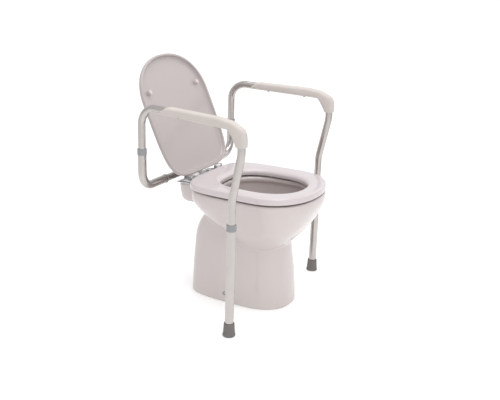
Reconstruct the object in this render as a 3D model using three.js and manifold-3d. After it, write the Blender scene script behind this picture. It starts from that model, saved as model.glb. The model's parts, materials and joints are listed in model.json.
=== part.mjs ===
// A floor-standing toilet with its hinged seat and lid, and a pair of adjustable support rails
// that hang on the seat's two fixing bolts. Millimetres, +Z up, the seated user faces -Y.
// y = 0 lies on the seat's rear edge while the pieces are made; the last lines of the file move
// the whole object so that its origin is on the floor under the middle of its footprint.
import * as THREE from "three";
import { mergeVertices } from "three/addons/utils/BufferGeometryUtils.js";
import Module from "manifold-3d";

const wasm = await Module();
wasm.setup();

// ---- Driving dimensions ----

// Clearances
const fitGap = 0.4; // between pieces that touch
const slideGap = 0.5; // radial, between telescoping tubes
const boreGap = 0.4; // radial, around a pin, bolt or screw
const passBeyond = 2; // how far a cutter runs past the face it cuts

// Pan
const rimHeight = 399;
const bowlHalf = 188; // half of the bowl's width at the rim
const bowlFront = -430;
const ledgeMargin = 32; // the ledge beyond each bolt
const ledgeRear = 60;
const ledgeDepth = 65;
const footHalf = 116; // half of the pedestal's width on the floor
const footFront = -350;
const footRear = 20;
const chinaWall = 15;
const footScrewY = -146;
const footScrewZ = 32;
const footScrewSink = 5.5; // the screw's head bears this deep in the china
const footScrewRadius = 3;
const footHeadRadius = 5.6;
const bracketGap = 5; // between the pedestal's inside and the floor bracket
const bracketLong = 50;
const bracketTall = 52;
const bracketWeb = 16; // thickness of its upright
const bracketBase = 7; // thickness of its foot

// Seat and lid
const seatHalf = 192;
const seatFront = -430;
const seatRear = -7;
const seatThick = 24;
const seatRise = 6; // the buffers' height under the seat
const holeHalf = 122;
const holeFront = -372;
const holeRear = -88;
const roundFront = 2.2; // how round each end of the outline is: 2 is an ellipse
const roundRear = 5;
const lidOverhang = 2; // how far the lid is larger than the seat all round
const lidRise = 2; // gap between the seat's top and the closed lid's rim
const lidHeight = 18;
const lidPanel = 5;
const lidRim = 8;
const lidOpenAngle = THREE.MathUtils.degToRad(114.5);
const seatBufferRadius = 10;
const lidBufferRadius = 8;
const lidBufferHalf = 144;
const lidBufferReach = 314; // from the hinge axis
const bufferStubRadius = 3;
const seatBufferPlaces = [
  [-150, -100],
  [150, -100],
  [-125, -350],
  [125, -350],
];

// Hinge
const boltSpacing = 156;
const boltY = 22;
const hingeY = 2;
const hingeDrop = 3; // axis below the seat's top
const knuckleRadius = 7.5;
const knuckleWide = 12;
const armTongue = 9; // how far the seat's hinge arm plugs into the ring
const armThick = 9;
const armDeep = 4; // the arm's top below the seat's top
const lidTongue = 6; // how far the lid's hinge arm plugs into its rim
const lidArmRise = 2; // above the rim's lower edge
const lidArmThick = 7;
const pinRadius = 3;
const boltRadius = 4;
const boltHoleRadius = 6; // in the china
const boltLength = 52;
const postBase = 6; // thickness of the hinge post's foot
const washerThick = 2;
const pocketSide = 40;
const pocketRoof = 20; // china left above the nut

// Mounting bracket
const plateThick = 3;
const plateMargin = 27; // the plate beyond each bolt
const plateFront = 6;
const flangeWide = 120;
const weldDepth = 0.4; // the bar's seat in the flange
const barRise = 23; // the bar's axis above the rim
const barY = 72;
const barWall = 1.5;

// Tubes
const innerRadius = 12.4;
const innerWall = 1.5;
const outerWall = 1.3;
const postSpacing = 570; // between the two rear posts
const splay = THREE.MathUtils.degToRad(5.3); // each rail turns outwards towards the front
const elbowBend = 52;
const bendGap = 1; // the rail's end above the elbow's bend
const barEndGap = 11; // the bar's end short of the elbow's bend
const armRise = 271; // rail's rear top corner above the bar's axis
const armLength = 386; // rear post to front corner
const armDrop = 17; // the armrest's fall from rear to front
const shoulderDrop = 80; // front corner to the upper front bend
const shoulderReach = 2; // that bend forward of the corner
const kneeDrop = 147; // upper to lower front bend
const kneeBack = 30; // the lower bend behind the upper one
const collarDrop = 74; // lower bend to the front collar's top
const frontOverlap = 175; // rail inside the leg tube
const topBend = 58;
const cornerBend = 46;
const slantBend = 120;

// Locking and settings
const heightPitch = 20;
const widthPitch = 20;
const settings = 3; // holes in each row
const rowMargin = 8; // last hole to the rail's end
const barRowMargin = 10; // last hole to the bar's end
const buttonRadius = 4;
const buttonProud = 2.6;
const buttonBelowCollar = 10;
const buttonFromRing = 18;
const leafWide = 7;
const leafThick = 0.8;
const leafLength = 38;

// Collars, rings and feet
const collarWall = 1.4;
const collarHeight = 21;
const collarLip = 3;
const ringWall = 1;
const ringWide = 6;
const ringLip = 2;
const sleeveChamfer = 0.4; // at a sleeve's inner end
const sleeveRounding = 1; // at its outer end
const footHeight = 45;
const footWall = 2.4;
const footFlare = 3.8; // the sole wider than the foot's top
const footSole = 8;

// Armrest cover
const coverStart = 79; // from the rear post, along the rail
const coverNose = 33; // length of its sloping rear end
const coverSide = 4.2; // thickness beside the tube
const bootWall = 2.4; // thickness beside the tube's front bend
const coverTop = 2.8; // thickness above the tube at the rear end
const coverTopGain = 4; // more of it towards the front
const coverOpen = 1.9; // the tube shows this far below the cover
const bootDrop = 56; // below the corner
const screwPlaces = [150, 290]; // from the rear post, along the rail
const screwRadius = 2;

// Facets
const roundSides = 40;
const tubeSides = 14;
const smallSides = 10;
const bendStep = 15; // degrees between rings round a bend

// ---- Derived places ----

const seatBottom = rimHeight + seatRise;
const seatTop = seatBottom + seatThick;
const hingeZ = seatTop - hingeDrop;
const lidBottom = seatTop + lidRise;
const lidRear = seatRear + lidOverhang;
const lidBufferTop = lidBottom + lidHeight - lidPanel;
const boltX = boltSpacing / 2;
const ledgeHalf = boltX + ledgeMargin;
const screwFace = footHalf - footScrewSink;
const bracketFace = footHalf - chinaWall - bracketGap;
const plateHalf = boltX + plateMargin;
const plateBottom = rimHeight + fitGap;
const plateTop = plateBottom + plateThick;
const barZ = rimHeight + barRise;
const postX = postSpacing / 2;
const outerBore = innerRadius + slideGap;
const outerRadius = outerBore + outerWall;
const sleeveBore = outerRadius + fitGap;
const collarRadius = sleeveBore + collarWall;
const ringRadius = sleeveBore + ringWall;
const footTopRadius = sleeveBore + footWall;
const footBaseRadius = footTopRadius + footFlare;
const coverHalf = innerRadius + fitGap + coverSide;
const bootHalf = innerRadius + fitGap + bootWall;
const coverTopRise = innerRadius + fitGap + coverTop; // above the tube's axis
const coverUnder = innerRadius - coverOpen; // below the tube's axis
const plateRear = barY - innerRadius - plateThick + weldDepth;
const barHalf = postX - elbowBend - barEndGap;
const buttonWidthX = barHalf - barRowMargin - (settings - 1) * widthPitch;
const ringX = buttonWidthX - buttonFromRing;
const railRearEnd = barZ + elbowBend + bendGap;
const buttonRearZ = railRearEnd + rowMargin + (settings - 1) * heightPitch;
const rearCollarTop = buttonRearZ + buttonBelowCollar + collarHeight;
const armZ = barZ + armRise;
const cornerZ = armZ - armDrop;
const shoulderS = armLength + shoulderReach;
const shoulderZ = cornerZ - shoulderDrop;
const legS = shoulderS - kneeBack;
const kneeZ = shoulderZ - kneeDrop;
const frontCollarTop = kneeZ - collarDrop;
const railFrontEnd = frontCollarTop - frontOverlap;
const buttonFrontZ = frontCollarTop - collarHeight - buttonBelowCollar;
const knuckleOffset = knuckleWide + fitGap; // lug centre to knuckle centre

// ---- Finishes ----

const finishes = {
  china: { color: 0xd8d0ce, roughness: 0.12, metalness: 0 },
  seat: { color: 0xddd4d5, roughness: 0.22, metalness: 0 },
  lid: { color: 0xd2c9c8, roughness: 0.3, metalness: 0 },
  armrest: { color: 0xd6cdc6, roughness: 0.6, metalness: 0 },
  aluminium: { color: 0xc4c4c6, roughness: 0.3, metalness: 1 },
  zinc: { color: 0xc9c9cc, roughness: 0.35, metalness: 1 },
  steel: { color: 0xa9abae, roughness: 0.3, metalness: 1 },
  collar: { color: 0x96969a, roughness: 0.55, metalness: 0 },
  rubber: { color: 0x787573, roughness: 0.85, metalness: 0 },
  nylon: { color: 0xe6e3de, roughness: 0.5, metalness: 0 },
  buffer: { color: 0xe2dcda, roughness: 0.6, metalness: 0 },
};

// ---- Geometry helpers ----

function solid(geometry) {
  const bare = geometry.index ? geometry.toNonIndexed() : geometry.clone();
  bare.deleteAttribute("normal");
  bare.deleteAttribute("uv");
  const merged = mergeVertices(bare, 1e-3);
  const corners = merged.index.array;
  const triangles = [];
  for (let i = 0; i < corners.length; i += 3) {
    const [a, b, c] = corners.slice(i, i + 3);
    if (a !== b && b !== c && c !== a) triangles.push(a, b, c);
  }
  return new wasm.Manifold(
    new wasm.Mesh({
      numProp: 3,
      vertProperties: merged.attributes.position.array,
      triVerts: Uint32Array.from(triangles),
    }),
  );
}

function geometryOf(made) {
  const mesh = made.getMesh();
  const geometry = new THREE.BufferGeometry();
  geometry.setAttribute("position", new THREE.BufferAttribute(mesh.vertProperties, 3));
  geometry.setIndex(new THREE.BufferAttribute(mesh.triVerts, 1));
  geometry.computeVertexNormals();
  return geometry;
}

function piece(parent, name, made, finish) {
  const mesh = new THREE.Mesh(geometryOf(made), new THREE.MeshStandardMaterial(finishes[finish]));
  mesh.name = name;
  parent.add(mesh);
  return mesh;
}

function box(x0, x1, y0, y1, z0, z1) {
  const geometry = new THREE.BoxGeometry(x1 - x0, y1 - y0, z1 - z0);
  geometry.translate((x0 + x1) / 2, (y0 + y1) / 2, (z0 + z1) / 2);
  return solid(geometry);
}

// A cylinder along "x", "y" or "z" whose axis runs from one place to the other.
function rod(axis, radius, from, to, place, sides = tubeSides) {
  const geometry = new THREE.CylinderGeometry(radius, radius, Math.abs(to - from), sides);
  if (axis === "x") geometry.rotateZ(-Math.PI / 2);
  if (axis === "z") geometry.rotateX(Math.PI / 2);
  const middle = { x: 0, y: 0, z: 0, ...place, [axis]: (from + to) / 2 };
  geometry.translate(middle.x, middle.y, middle.z);
  return solid(geometry);
}

// A turned piece about +Z. The profile lists [radius, height] pairs up the outside and down
// the inside, or from the axis back to the axis.
function turned(profile, sides = tubeSides) {
  const points = profile.map(([radius, height]) => new THREE.Vector2(radius, height));
  const geometry = new THREE.LatheGeometry(points, sides);
  geometry.rotateX(Math.PI / 2);
  return solid(geometry);
}

function closedProfile(points) {
  return [...points, points[0]];
}

// One point of an egg-shaped outline: a rounded front half and a squarer rear half.
function eggPoint(level, angle) {
  const c = Math.cos(angle);
  const s = Math.sin(angle);
  const power = 2 / (s < 0 ? level.frontPower : level.rearPower);
  const reach = s < 0 ? level.mid - level.front : level.rear - level.mid;
  return [
    level.half * Math.sign(c) * Math.abs(c) ** power,
    level.mid + reach * Math.sign(s) * Math.abs(s) ** power,
  ];
}

// A solid through egg-shaped levels, listed from the lowest up.
function loft(levels, sides = roundSides) {
  const last = levels.length - 1;
  const geometry = new THREE.CylinderGeometry(1, 1, 1, sides, last);
  geometry.rotateX(Math.PI / 2);
  const places = geometry.attributes.position;
  for (let i = 0; i < places.count; i++) {
    const level = levels[Math.round((places.getZ(i) + 0.5) * last)];
    const share = Math.round(Math.hypot(places.getX(i), places.getY(i)));
    const [x, y] = eggPoint(level, Math.atan2(places.getY(i), places.getX(i)));
    places.setXYZ(i, x * share, level.mid + (y - level.mid) * share, level.z);
  }
  return solid(geometry);
}

// Levels that follow one outline, drawn in by the given inset at each height.
function insetLevels(outline, rows) {
  return rows.map(([z, inset]) => ({
    ...outline,
    z,
    half: outline.half - inset,
    front: outline.front + inset,
    rear: outline.rear - inset,
  }));
}

// A tube's route: straight runs joined by arcs, with a ring of vertices only where it bends.
class BentRoute extends THREE.Curve {
  constructor(corners) {
    super();
    this.points = [corners[0].at];
    this.tangents = [corners[1].at.clone().sub(corners[0].at).normalize()];
    for (let i = 1; i < corners.length - 1; i++) {
      this.addBend(corners[i - 1].at, corners[i], corners[i + 1].at);
    }
    this.points.push(corners.at(-1).at);
    this.tangents.push(this.tangents.at(-1));
  }

  addBend(before, corner, after) {
    const inward = corner.at.clone().sub(before).normalize();
    const outward = after.clone().sub(corner.at).normalize();
    const turn = inward.angleTo(outward);
    const side = outward.clone().addScaledVector(inward, -inward.dot(outward)).normalize();
    const start = corner.at.clone().addScaledVector(inward, -corner.bend * Math.tan(turn / 2));
    const steps = Math.max(2, Math.ceil(turn / THREE.MathUtils.degToRad(bendStep)));
    for (let k = 0; k <= steps; k++) {
      const angle = (turn * k) / steps;
      const point = start
        .clone()
        .addScaledVector(inward, corner.bend * Math.sin(angle))
        .addScaledVector(side, corner.bend * (1 - Math.cos(angle)));
      this.points.push(point);
      const tangent = inward.clone().multiplyScalar(Math.cos(angle));
      this.tangents.push(tangent.addScaledVector(side, Math.sin(angle)));
    }
  }

  get steps() {
    return this.points.length - 1;
  }

  getPointAt(share) {
    return this.points[Math.round(share * this.steps)].clone();
  }

  getTangentAt(share) {
    return this.tangents[Math.round(share * this.steps)].clone();
  }
}

function circle(radius, sides) {
  const points = [];
  for (let i = 0; i < sides; i++) {
    const angle = (2 * Math.PI * i) / sides;
    points.push(new THREE.Vector2(radius * Math.cos(angle), radius * Math.sin(angle)));
  }
  return points;
}

// A pipe of the given outer radius along a route; with no wall it is solid.
function pipe(route, radius, wall) {
  const section = new THREE.Shape(circle(radius, tubeSides));
  if (wall) section.holes.push(new THREE.Path(circle(radius - wall, tubeSides)));
  const options = { steps: route.steps, extrudePath: route, bevelEnabled: false };
  return solid(new THREE.ExtrudeGeometry(section, options));
}

// A flat outline in the X-Z plane, given thickness evenly either side of y = 0.
function slabXZ(points, halfThick, bevel = 0) {
  const shape = new THREE.Shape(points.map(([x, z]) => new THREE.Vector2(x, z)));
  const geometry = new THREE.ExtrudeGeometry(shape, {
    depth: 2 * (halfThick - bevel),
    bevelEnabled: bevel > 0,
    bevelThickness: bevel,
    bevelSize: bevel,
    bevelOffset: -bevel,
    bevelSegments: 2,
    steps: 1,
  });
  geometry.translate(0, 0, -(halfThick - bevel));
  geometry.rotateX(Math.PI / 2);
  return solid(geometry);
}

// A rounded rectangle in the X-Y plane, from one height up to another.
function roundedPlate(x0, x1, y0, y1, corner, z0, z1) {
  const shape = new THREE.Shape();
  shape.moveTo(x0 + corner, y0);
  shape.lineTo(x1 - corner, y0);
  shape.absarc(x1 - corner, y0 + corner, corner, -Math.PI / 2, 0);
  shape.absarc(x1 - corner, y1 - corner, corner, 0, Math.PI / 2);
  shape.absarc(x0 + corner, y1 - corner, corner, Math.PI / 2, Math.PI);
  shape.absarc(x0 + corner, y0 + corner, corner, Math.PI, 1.5 * Math.PI);
  const options = { depth: z1 - z0, bevelEnabled: false, curveSegments: 3, steps: 1 };
  const geometry = new THREE.ExtrudeGeometry(shape, options);
  geometry.translate(0, 0, z0);
  return solid(geometry);
}

// ---- Pan ----

function bowlLevel(depth, half, front, rear, rearPower) {
  const mid = front + 0.85 * half;
  return { z: rimHeight - depth, half, front, rear, mid, frontPower: 2.3, rearPower };
}

// A pedestal level at a share of the height up to the ledge's underside.
function pedestalLevel(share, wider, frontIn, rearOut) {
  return {
    z: share * (rimHeight - ledgeDepth + 10),
    half: footHalf + wider,
    front: footFront + frontIn,
    rear: footRear + rearOut,
    mid: footFront + 150,
    frontPower: 2.4,
    rearPower: 4,
  };
}

function panOutside() {
  const bowl = loft([
    bowlLevel(186, bowlHalf - 90, bowlFront + 112, -205, 2.4),
    bowlLevel(167, bowlHalf - 70, bowlFront + 90, -165, 2.4),
    bowlLevel(139, bowlHalf - 48, bowlFront + 65, -105, 2.4),
    bowlLevel(104, bowlHalf - 26, bowlFront + 38, -46, 2.6),
    bowlLevel(66, bowlHalf - 10, bowlFront + 16, seatRear - 5, 3),
    bowlLevel(30, bowlHalf - 1, bowlFront + 1, seatRear - 2, 4),
    bowlLevel(4, bowlHalf, bowlFront, seatRear - 2, 4),
    bowlLevel(0, bowlHalf - 3, bowlFront + 3, seatRear - 5, 4),
  ]);
  const pedestal = loft([
    pedestalLevel(0, -1, 1, -1),
    pedestalLevel(0.02, 0, 0, 0),
    pedestalLevel(0.34, -8, 9, -2),
    pedestalLevel(0.62, -15, 22, -8),
    pedestalLevel(0.74, -17, 28, -20),
    pedestalLevel(0.85, -14, 45, -42),
    pedestalLevel(1, -8, 70, -56),
  ]);
  const ledge = loft(
    [
      [ledgeDepth, 18],
      [ledgeDepth - 8, 9],
      [ledgeDepth - 22, 4],
      [4, 0],
      [0, 3],
    ].map(([depth, inset]) => ({
      z: rimHeight - depth,
      half: ledgeHalf - inset,
      front: -130,
      rear: ledgeRear - inset,
      mid: -40,
      frontPower: 4,
      rearPower: 6,
    })),
  );
  return bowl.add(pedestal).add(ledge);
}

// The bowl's hollow, or with growth the china shell round it.
function bowlInside(growth) {
  const wall = chinaWall + 3;
  const level = (depth, half, front, rear) =>
    bowlLevel(depth, half + growth, front - growth, rear + growth, 2.4);
  return loft([
    level(232 + growth, bowlHalf - 148, bowlFront + 195, -150),
    level(222 + growth, bowlHalf - 138, bowlFront + 180, -140),
    level(186, bowlHalf - 110, bowlFront + 130, -110),
    level(139, bowlHalf - 48 - wall, bowlFront + 65 + wall, -92),
    level(95, bowlHalf - 22 - wall, bowlFront + 34 + wall, -84),
    level(40, bowlHalf - 4 - 2 * wall, bowlFront + 4 + 2 * wall, -78),
    level(24, bowlHalf - 4 - 2 * wall, bowlFront + 4 + 2 * wall, -78),
    level(15, holeHalf + 8, holeFront, holeRear),
    level(-passBeyond, holeHalf + 8, holeFront, holeRear),
  ]);
}

// The pedestal's hollow, open on the floor and closed above by the bowl's shell.
function pedestalInside() {
  const inset = (share, wider, frontIn, rearOut) =>
    pedestalLevel(share, wider - chinaWall, frontIn + chinaWall, rearOut - chinaWall);
  const hollow = loft([
    inset(-0.01, 0, 0, 0),
    inset(0.34, -8, 9, -2),
    inset(0.62, -15, 22, -8),
    inset(0.74, -17, 28, -20),
    inset(0.85, -14, 45, -42),
  ]);
  return hollow.subtract(bowlInside(chinaWall));
}

function pan() {
  let body = panOutside().subtract(bowlInside(0)).subtract(pedestalInside());
  const pocketTop = rimHeight - pocketRoof;
  for (const side of [-1, 1]) {
    const bolt = { x: side * boltX, y: boltY };
    const half = pocketSide / 2;
    body = body
      .subtract(rod("z", boltHoleRadius, pocketTop - passBeyond, rimHeight + passBeyond, bolt))
      .subtract(
        box(
          bolt.x - half,
          bolt.x + half,
          boltY - half,
          boltY + half,
          pocketTop - ledgeDepth,
          pocketTop,
        ),
      );
    const screw = { y: footScrewY, z: footScrewZ };
    const sink = footHeadRadius + 1.4;
    const bore = footScrewRadius + 1;
    const inner = side * (screwFace - 2 * chinaWall);
    body = body
      .subtract(rod("x", sink, side * screwFace, side * (footHalf + passBeyond), screw))
      .subtract(rod("x", bore, inner, side * (screwFace + 1), screw));
  }
  return body;
}

// The L-shaped bracket on the floor inside the pedestal.
function floorBracket(side) {
  const webFace = bracketFace - bracketWeb;
  const profile = [
    [bracketFace - bracketLong, 0],
    [bracketFace, 0],
    [bracketFace, bracketTall],
    [webFace, bracketTall],
    [webFace, bracketBase],
    [bracketFace - bracketLong, bracketBase],
  ];
  const outline = side > 0 ? profile : profile.map(([x, z]) => [-x, z]).reverse();
  const from = side * (webFace - passBeyond);
  const to = side * (bracketFace + passBeyond);
  const bore = rod("x", footScrewRadius + boreGap, from, to, { z: footScrewZ });
  return slabXZ(outline, bracketWeb).subtract(bore);
}

// The side screw that holds the china to its bracket; z = 0 is under the head.
function floorScrew() {
  const reach = screwFace - bracketFace + bracketWeb;
  return turned(
    [
      [0, -reach],
      [footScrewRadius, -reach],
      [footScrewRadius, 0],
      [footHeadRadius, 0],
      [footHeadRadius, 2],
      [footHeadRadius - 1.6, 3.4],
      [0, 3.4],
    ],
    smallSides,
  );
}

// ---- Seat ----

const seatOutline = {
  half: seatHalf,
  front: seatFront,
  rear: seatRear,
  mid: seatFront + 158,
  frontPower: roundFront,
  rearPower: roundRear,
};
const holeOutline = {
  half: holeHalf,
  front: holeFront,
  rear: holeRear,
  mid: holeFront + 132,
  frontPower: 2.3,
  rearPower: 3,
};

function knuckle(centreX) {
  const half = knuckleWide / 2;
  const place = { y: hingeY, z: hingeZ };
  return rod("x", knuckleRadius, centreX - half, centreX + half, place);
}

// A bar as wide as a knuckle, or with growth the pocket that it plugs into.
function knuckleBar(centreX, fromY, toY, low, high, growth = 0) {
  const half = knuckleWide / 2 + growth;
  return box(centreX - half, centreX + half, fromY - growth, toY, low - growth, high + growth);
}

function pinBore() {
  return rod("x", pinRadius + boreGap, -seatHalf, seatHalf, { y: hingeY, z: hingeZ }, smallSides);
}

function seatArmBar(side, toY, growth) {
  const x = side * (boltX - knuckleOffset);
  const top = seatTop - armDeep;
  return knuckleBar(x, seatRear - armTongue, toY, top - armThick, top, growth);
}

function seatArm(side) {
  const round = knuckle(side * (boltX - knuckleOffset));
  return round.add(seatArmBar(side, hingeY, 0)).subtract(pinBore());
}

function seatRing() {
  const t = seatThick;
  const ring = loft(
    insetLevels(seatOutline, [
      [seatBottom, 4],
      [seatBottom + 3, 0.8],
      [seatBottom + 6, 0],
      [seatBottom + t - 8, 0],
      [seatBottom + t - 3, 3],
      [seatTop, 9],
    ]),
  );
  const hole = loft(
    insetLevels(holeOutline, [
      [seatBottom - passBeyond, 0],
      [seatBottom + t - 11, 0],
      [seatBottom + t - 5, -5],
      [seatBottom + t - 1.5, -14],
      [seatTop + 1, -22],
    ]),
  );
  let body = ring.subtract(hole);
  for (const side of [-1, 1]) {
    body = body.subtract(seatArmBar(side, seatRear + passBeyond, fitGap));
  }
  for (const [x, y] of seatBufferPlaces) {
    const hole = rod(
      "z",
      bufferStubRadius + boreGap,
      seatBottom - passBeyond,
      seatBottom + 7,
      { x, y },
      smallSides,
    );
    body = body.subtract(hole);
  }
  return body;
}

// A buffer's pad from z = 0 up to its height, with a stub above it that plugs into its hole.
function buffer(radius, height, stub) {
  return turned([
    [0, 0],
    [radius - 1, 0],
    [radius, 1],
    [radius, height],
    [bufferStubRadius, height],
    [bufferStubRadius, height + stub],
    [0, height + stub],
  ]);
}

// ---- Lid, drawn closed and measured from the hinge axis ----

function lidArmBar(side, toY, growth) {
  const x = side * (boltX + knuckleOffset);
  const low = lidBottom + lidArmRise;
  return knuckleBar(x, lidRear - lidTongue, toY, low, low + lidArmThick, growth);
}

function lidArm(side) {
  const x = side * (boltX + knuckleOffset);
  const top = lidBottom + lidArmRise + lidArmThick;
  return knuckle(x)
    .add(lidArmBar(side, hingeY, 0))
    .add(knuckleBar(x, lidRear + fitGap, hingeY, hingeZ, top))
    .subtract(pinBore())
    .translate(0, -hingeY, -hingeZ);
}

function lid() {
  const outline = insetLevels(seatOutline, [[0, -lidOverhang]])[0];
  const z = lidBottom;
  const outside = loft(
    insetLevels(outline, [
      [z, 1.5],
      [z + 2, 0],
      [z + 9, 0],
      [z + 14, 4],
      [z + lidHeight - 1, 14],
      [z + lidHeight, 30],
    ]),
  );
  const inside = loft(
    insetLevels(outline, [
      [z - passBeyond, lidRim],
      [lidBufferTop - 5, lidRim + 1],
      [lidBufferTop - 1, lidRim + 6],
      [lidBufferTop, lidRim + 12],
    ]),
  );
  let body = outside.subtract(inside);
  for (const side of [-1, 1]) {
    body = body.subtract(lidArmBar(side, lidRear + passBeyond, fitGap));
    const place = { x: side * lidBufferHalf, y: hingeY - lidBufferReach };
    const hole = rod(
      "z",
      bufferStubRadius + boreGap,
      lidBufferTop - 1,
      lidBufferTop + 3,
      place,
      smallSides,
    );
    body = body.subtract(hole);
  }
  return body.translate(0, -hingeY, -hingeZ);
}

// ---- Hinge hardware, drawn at x = 0 ----

function hingePost() {
  const half = knuckleWide / 2;
  const low = plateTop + fitGap;
  const base = roundedPlate(-17, 17, -2, boltY + 20, 7, low, low + postBase);
  const front = hingeY - knuckleRadius;
  const lug = knuckle(0).add(box(-half, half, front, front + 2 * knuckleRadius, low, hingeZ));
  return base
    .add(lug)
    .subtract(pinBore())
    .subtract(
      rod("z", boltRadius + boreGap, low - 1, low + postBase + 1, { y: boltY }, smallSides),
    );
}

function hingePin() {
  const reach = knuckleOffset + knuckleWide / 2 + fitGap;
  return turned([
    [0, -reach - 2],
    [5, -reach - 2],
    [5, -reach],
    [pinRadius, -reach],
    [pinRadius, reach],
    [5, reach],
    [5, reach + 2],
    [0, reach + 2],
  ], smallSides);
}

// The bolt's head sits on z = 0.
function hingeBolt() {
  return turned([
    [0, -boltLength],
    [boltRadius - 1, -boltLength],
    [boltRadius, 1 - boltLength],
    [boltRadius, 0],
    [7, 0],
    [7, 2.5],
    [4.5, 4.6],
    [0, 5],
  ], smallSides);
}

function washer() {
  return turned(
    closedProfile([
      [boltRadius + 8, 0],
      [boltRadius + 8, washerThick],
      [boltRadius + boreGap, washerThick],
      [boltRadius + boreGap, 0],
    ]),
  );
}

// The wing nut's top face is at z = 0.
function wingNut() {
  const hub = rod("z", 7, -9, 0, {});
  const wings = box(-16, 16, -1.5, 1.5, -13, -2);
  const bore = rod("z", boltRadius + boreGap, -9 - passBeyond - 3, passBeyond, {});
  return hub.add(wings).subtract(bore);
}

// ---- Mounting bracket ----

function buttonRow(axis, first, step, place, cut) {
  let row;
  for (let i = 0; i < settings; i++) {
    const made = cut({ ...place, [axis]: first + i * step });
    row = row ? row.add(made) : made;
  }
  return row;
}

function mountingBracket() {
  const plate = roundedPlate(
    -plateHalf,
    plateHalf,
    plateFront,
    plateRear + plateThick,
    6,
    plateBottom,
    plateTop,
  );
  const flange = box(
    -flangeWide / 2,
    flangeWide / 2,
    plateRear,
    plateRear + plateThick,
    plateBottom,
    barZ + 6,
  );
  const bar = rod("x", innerRadius, -barHalf, barHalf, { y: barY, z: barZ });
  const bore = rod(
    "x",
    innerRadius - barWall,
    -barHalf - passBeyond,
    barHalf + passBeyond,
    { y: barY, z: barZ },
  );
  let body = plate.add(flange).add(bar).subtract(bore);
  for (const side of [-1, 1]) {
    const slot = roundedPlate(
      side * boltX - 8,
      side * boltX + 8,
      boltY - boltRadius - boreGap,
      boltY + boltRadius + boreGap,
      boltRadius,
      plateBottom - 1,
      plateTop + 1,
    );
    const holes = buttonRow("x", side * buttonWidthX, side * widthPitch, { z: barZ }, (at) =>
      rod("y", buttonRadius + boreGap, barY, barY + innerRadius + 1, at, smallSides),
    );
    body = body.subtract(slot).subtract(holes);
  }
  return body;
}

// ---- Elbow: the lower rear tube ----

function elbowTube(side) {
  const top = rearCollarTop - collarLip - fitGap;
  const inner = ringX + ringLip + fitGap;
  const route = new BentRoute([
    { at: new THREE.Vector3(side * inner, barY, barZ) },
    { at: new THREE.Vector3(side * postX, barY, barZ), bend: elbowBend },
    { at: new THREE.Vector3(side * postX, barY, top) },
  ]);
  const tube = pipe(route, outerRadius, outerRadius - outerBore);
  const widthHole = rod(
    "y",
    buttonRadius + boreGap,
    barY + outerBore - passBeyond,
    barY + outerRadius + 1,
    { x: side * buttonWidthX, z: barZ },
    smallSides,
  );
  return tube.subtract(widthHole).subtract(postButtonHole(side));
}

// Radial hole in the rear post towards the front of the rail.
function postButtonHole(side) {
  const from = outerBore - passBeyond;
  const at = { z: buttonRearZ };
  const hole = rod("x", buttonRadius + boreGap, from, outerRadius + 1, at, smallSides);
  const turn = THREE.MathUtils.radToDeg(railTurn(side));
  return hole.rotate([0, 0, turn]).translate([side * postX, barY, 0]);
}

// ---- Rail, drawn in its own plane: +X forward along the rail, from the rear post ----

function railTurn(side) {
  return Math.atan2(-Math.cos(splay), side * Math.sin(splay));
}

function railCorners(startZ, endZ) {
  const corner = (s, z, bend) => ({ at: new THREE.Vector3(s, 0, z), bend });
  return [
    corner(0, startZ),
    corner(0, armZ, topBend),
    corner(armLength, cornerZ, cornerBend),
    corner(shoulderS, shoulderZ, slantBend),
    corner(legS, kneeZ, slantBend),
    corner(legS, endZ),
  ];
}

function axisZ(s) {
  return armZ - (armDrop * s) / armLength;
}

function railTube() {
  const route = new BentRoute(railCorners(railRearEnd, railFrontEnd));
  let tube = pipe(route, innerRadius, innerWall);
  const hole = buttonRadius + boreGap;
  const rear = buttonRow("z", buttonRearZ, -heightPitch, {}, (at) =>
    rod("x", hole, 0, innerRadius + 1, at, smallSides),
  );
  const front = buttonRow("z", buttonFrontZ, -heightPitch, {}, (at) =>
    rod("x", hole, legS - innerRadius - 1, legS, at, smallSides),
  );
  tube = tube.subtract(rear).subtract(front);
  for (const s of screwPlaces) {
    const screw = rod(
      "z",
      screwRadius + boreGap,
      axisZ(s) - innerRadius - 1,
      axisZ(s) + innerRadius + 1,
      { x: s },
      smallSides,
    );
    tube = tube.subtract(screw);
  }
  return tube;
}

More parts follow.
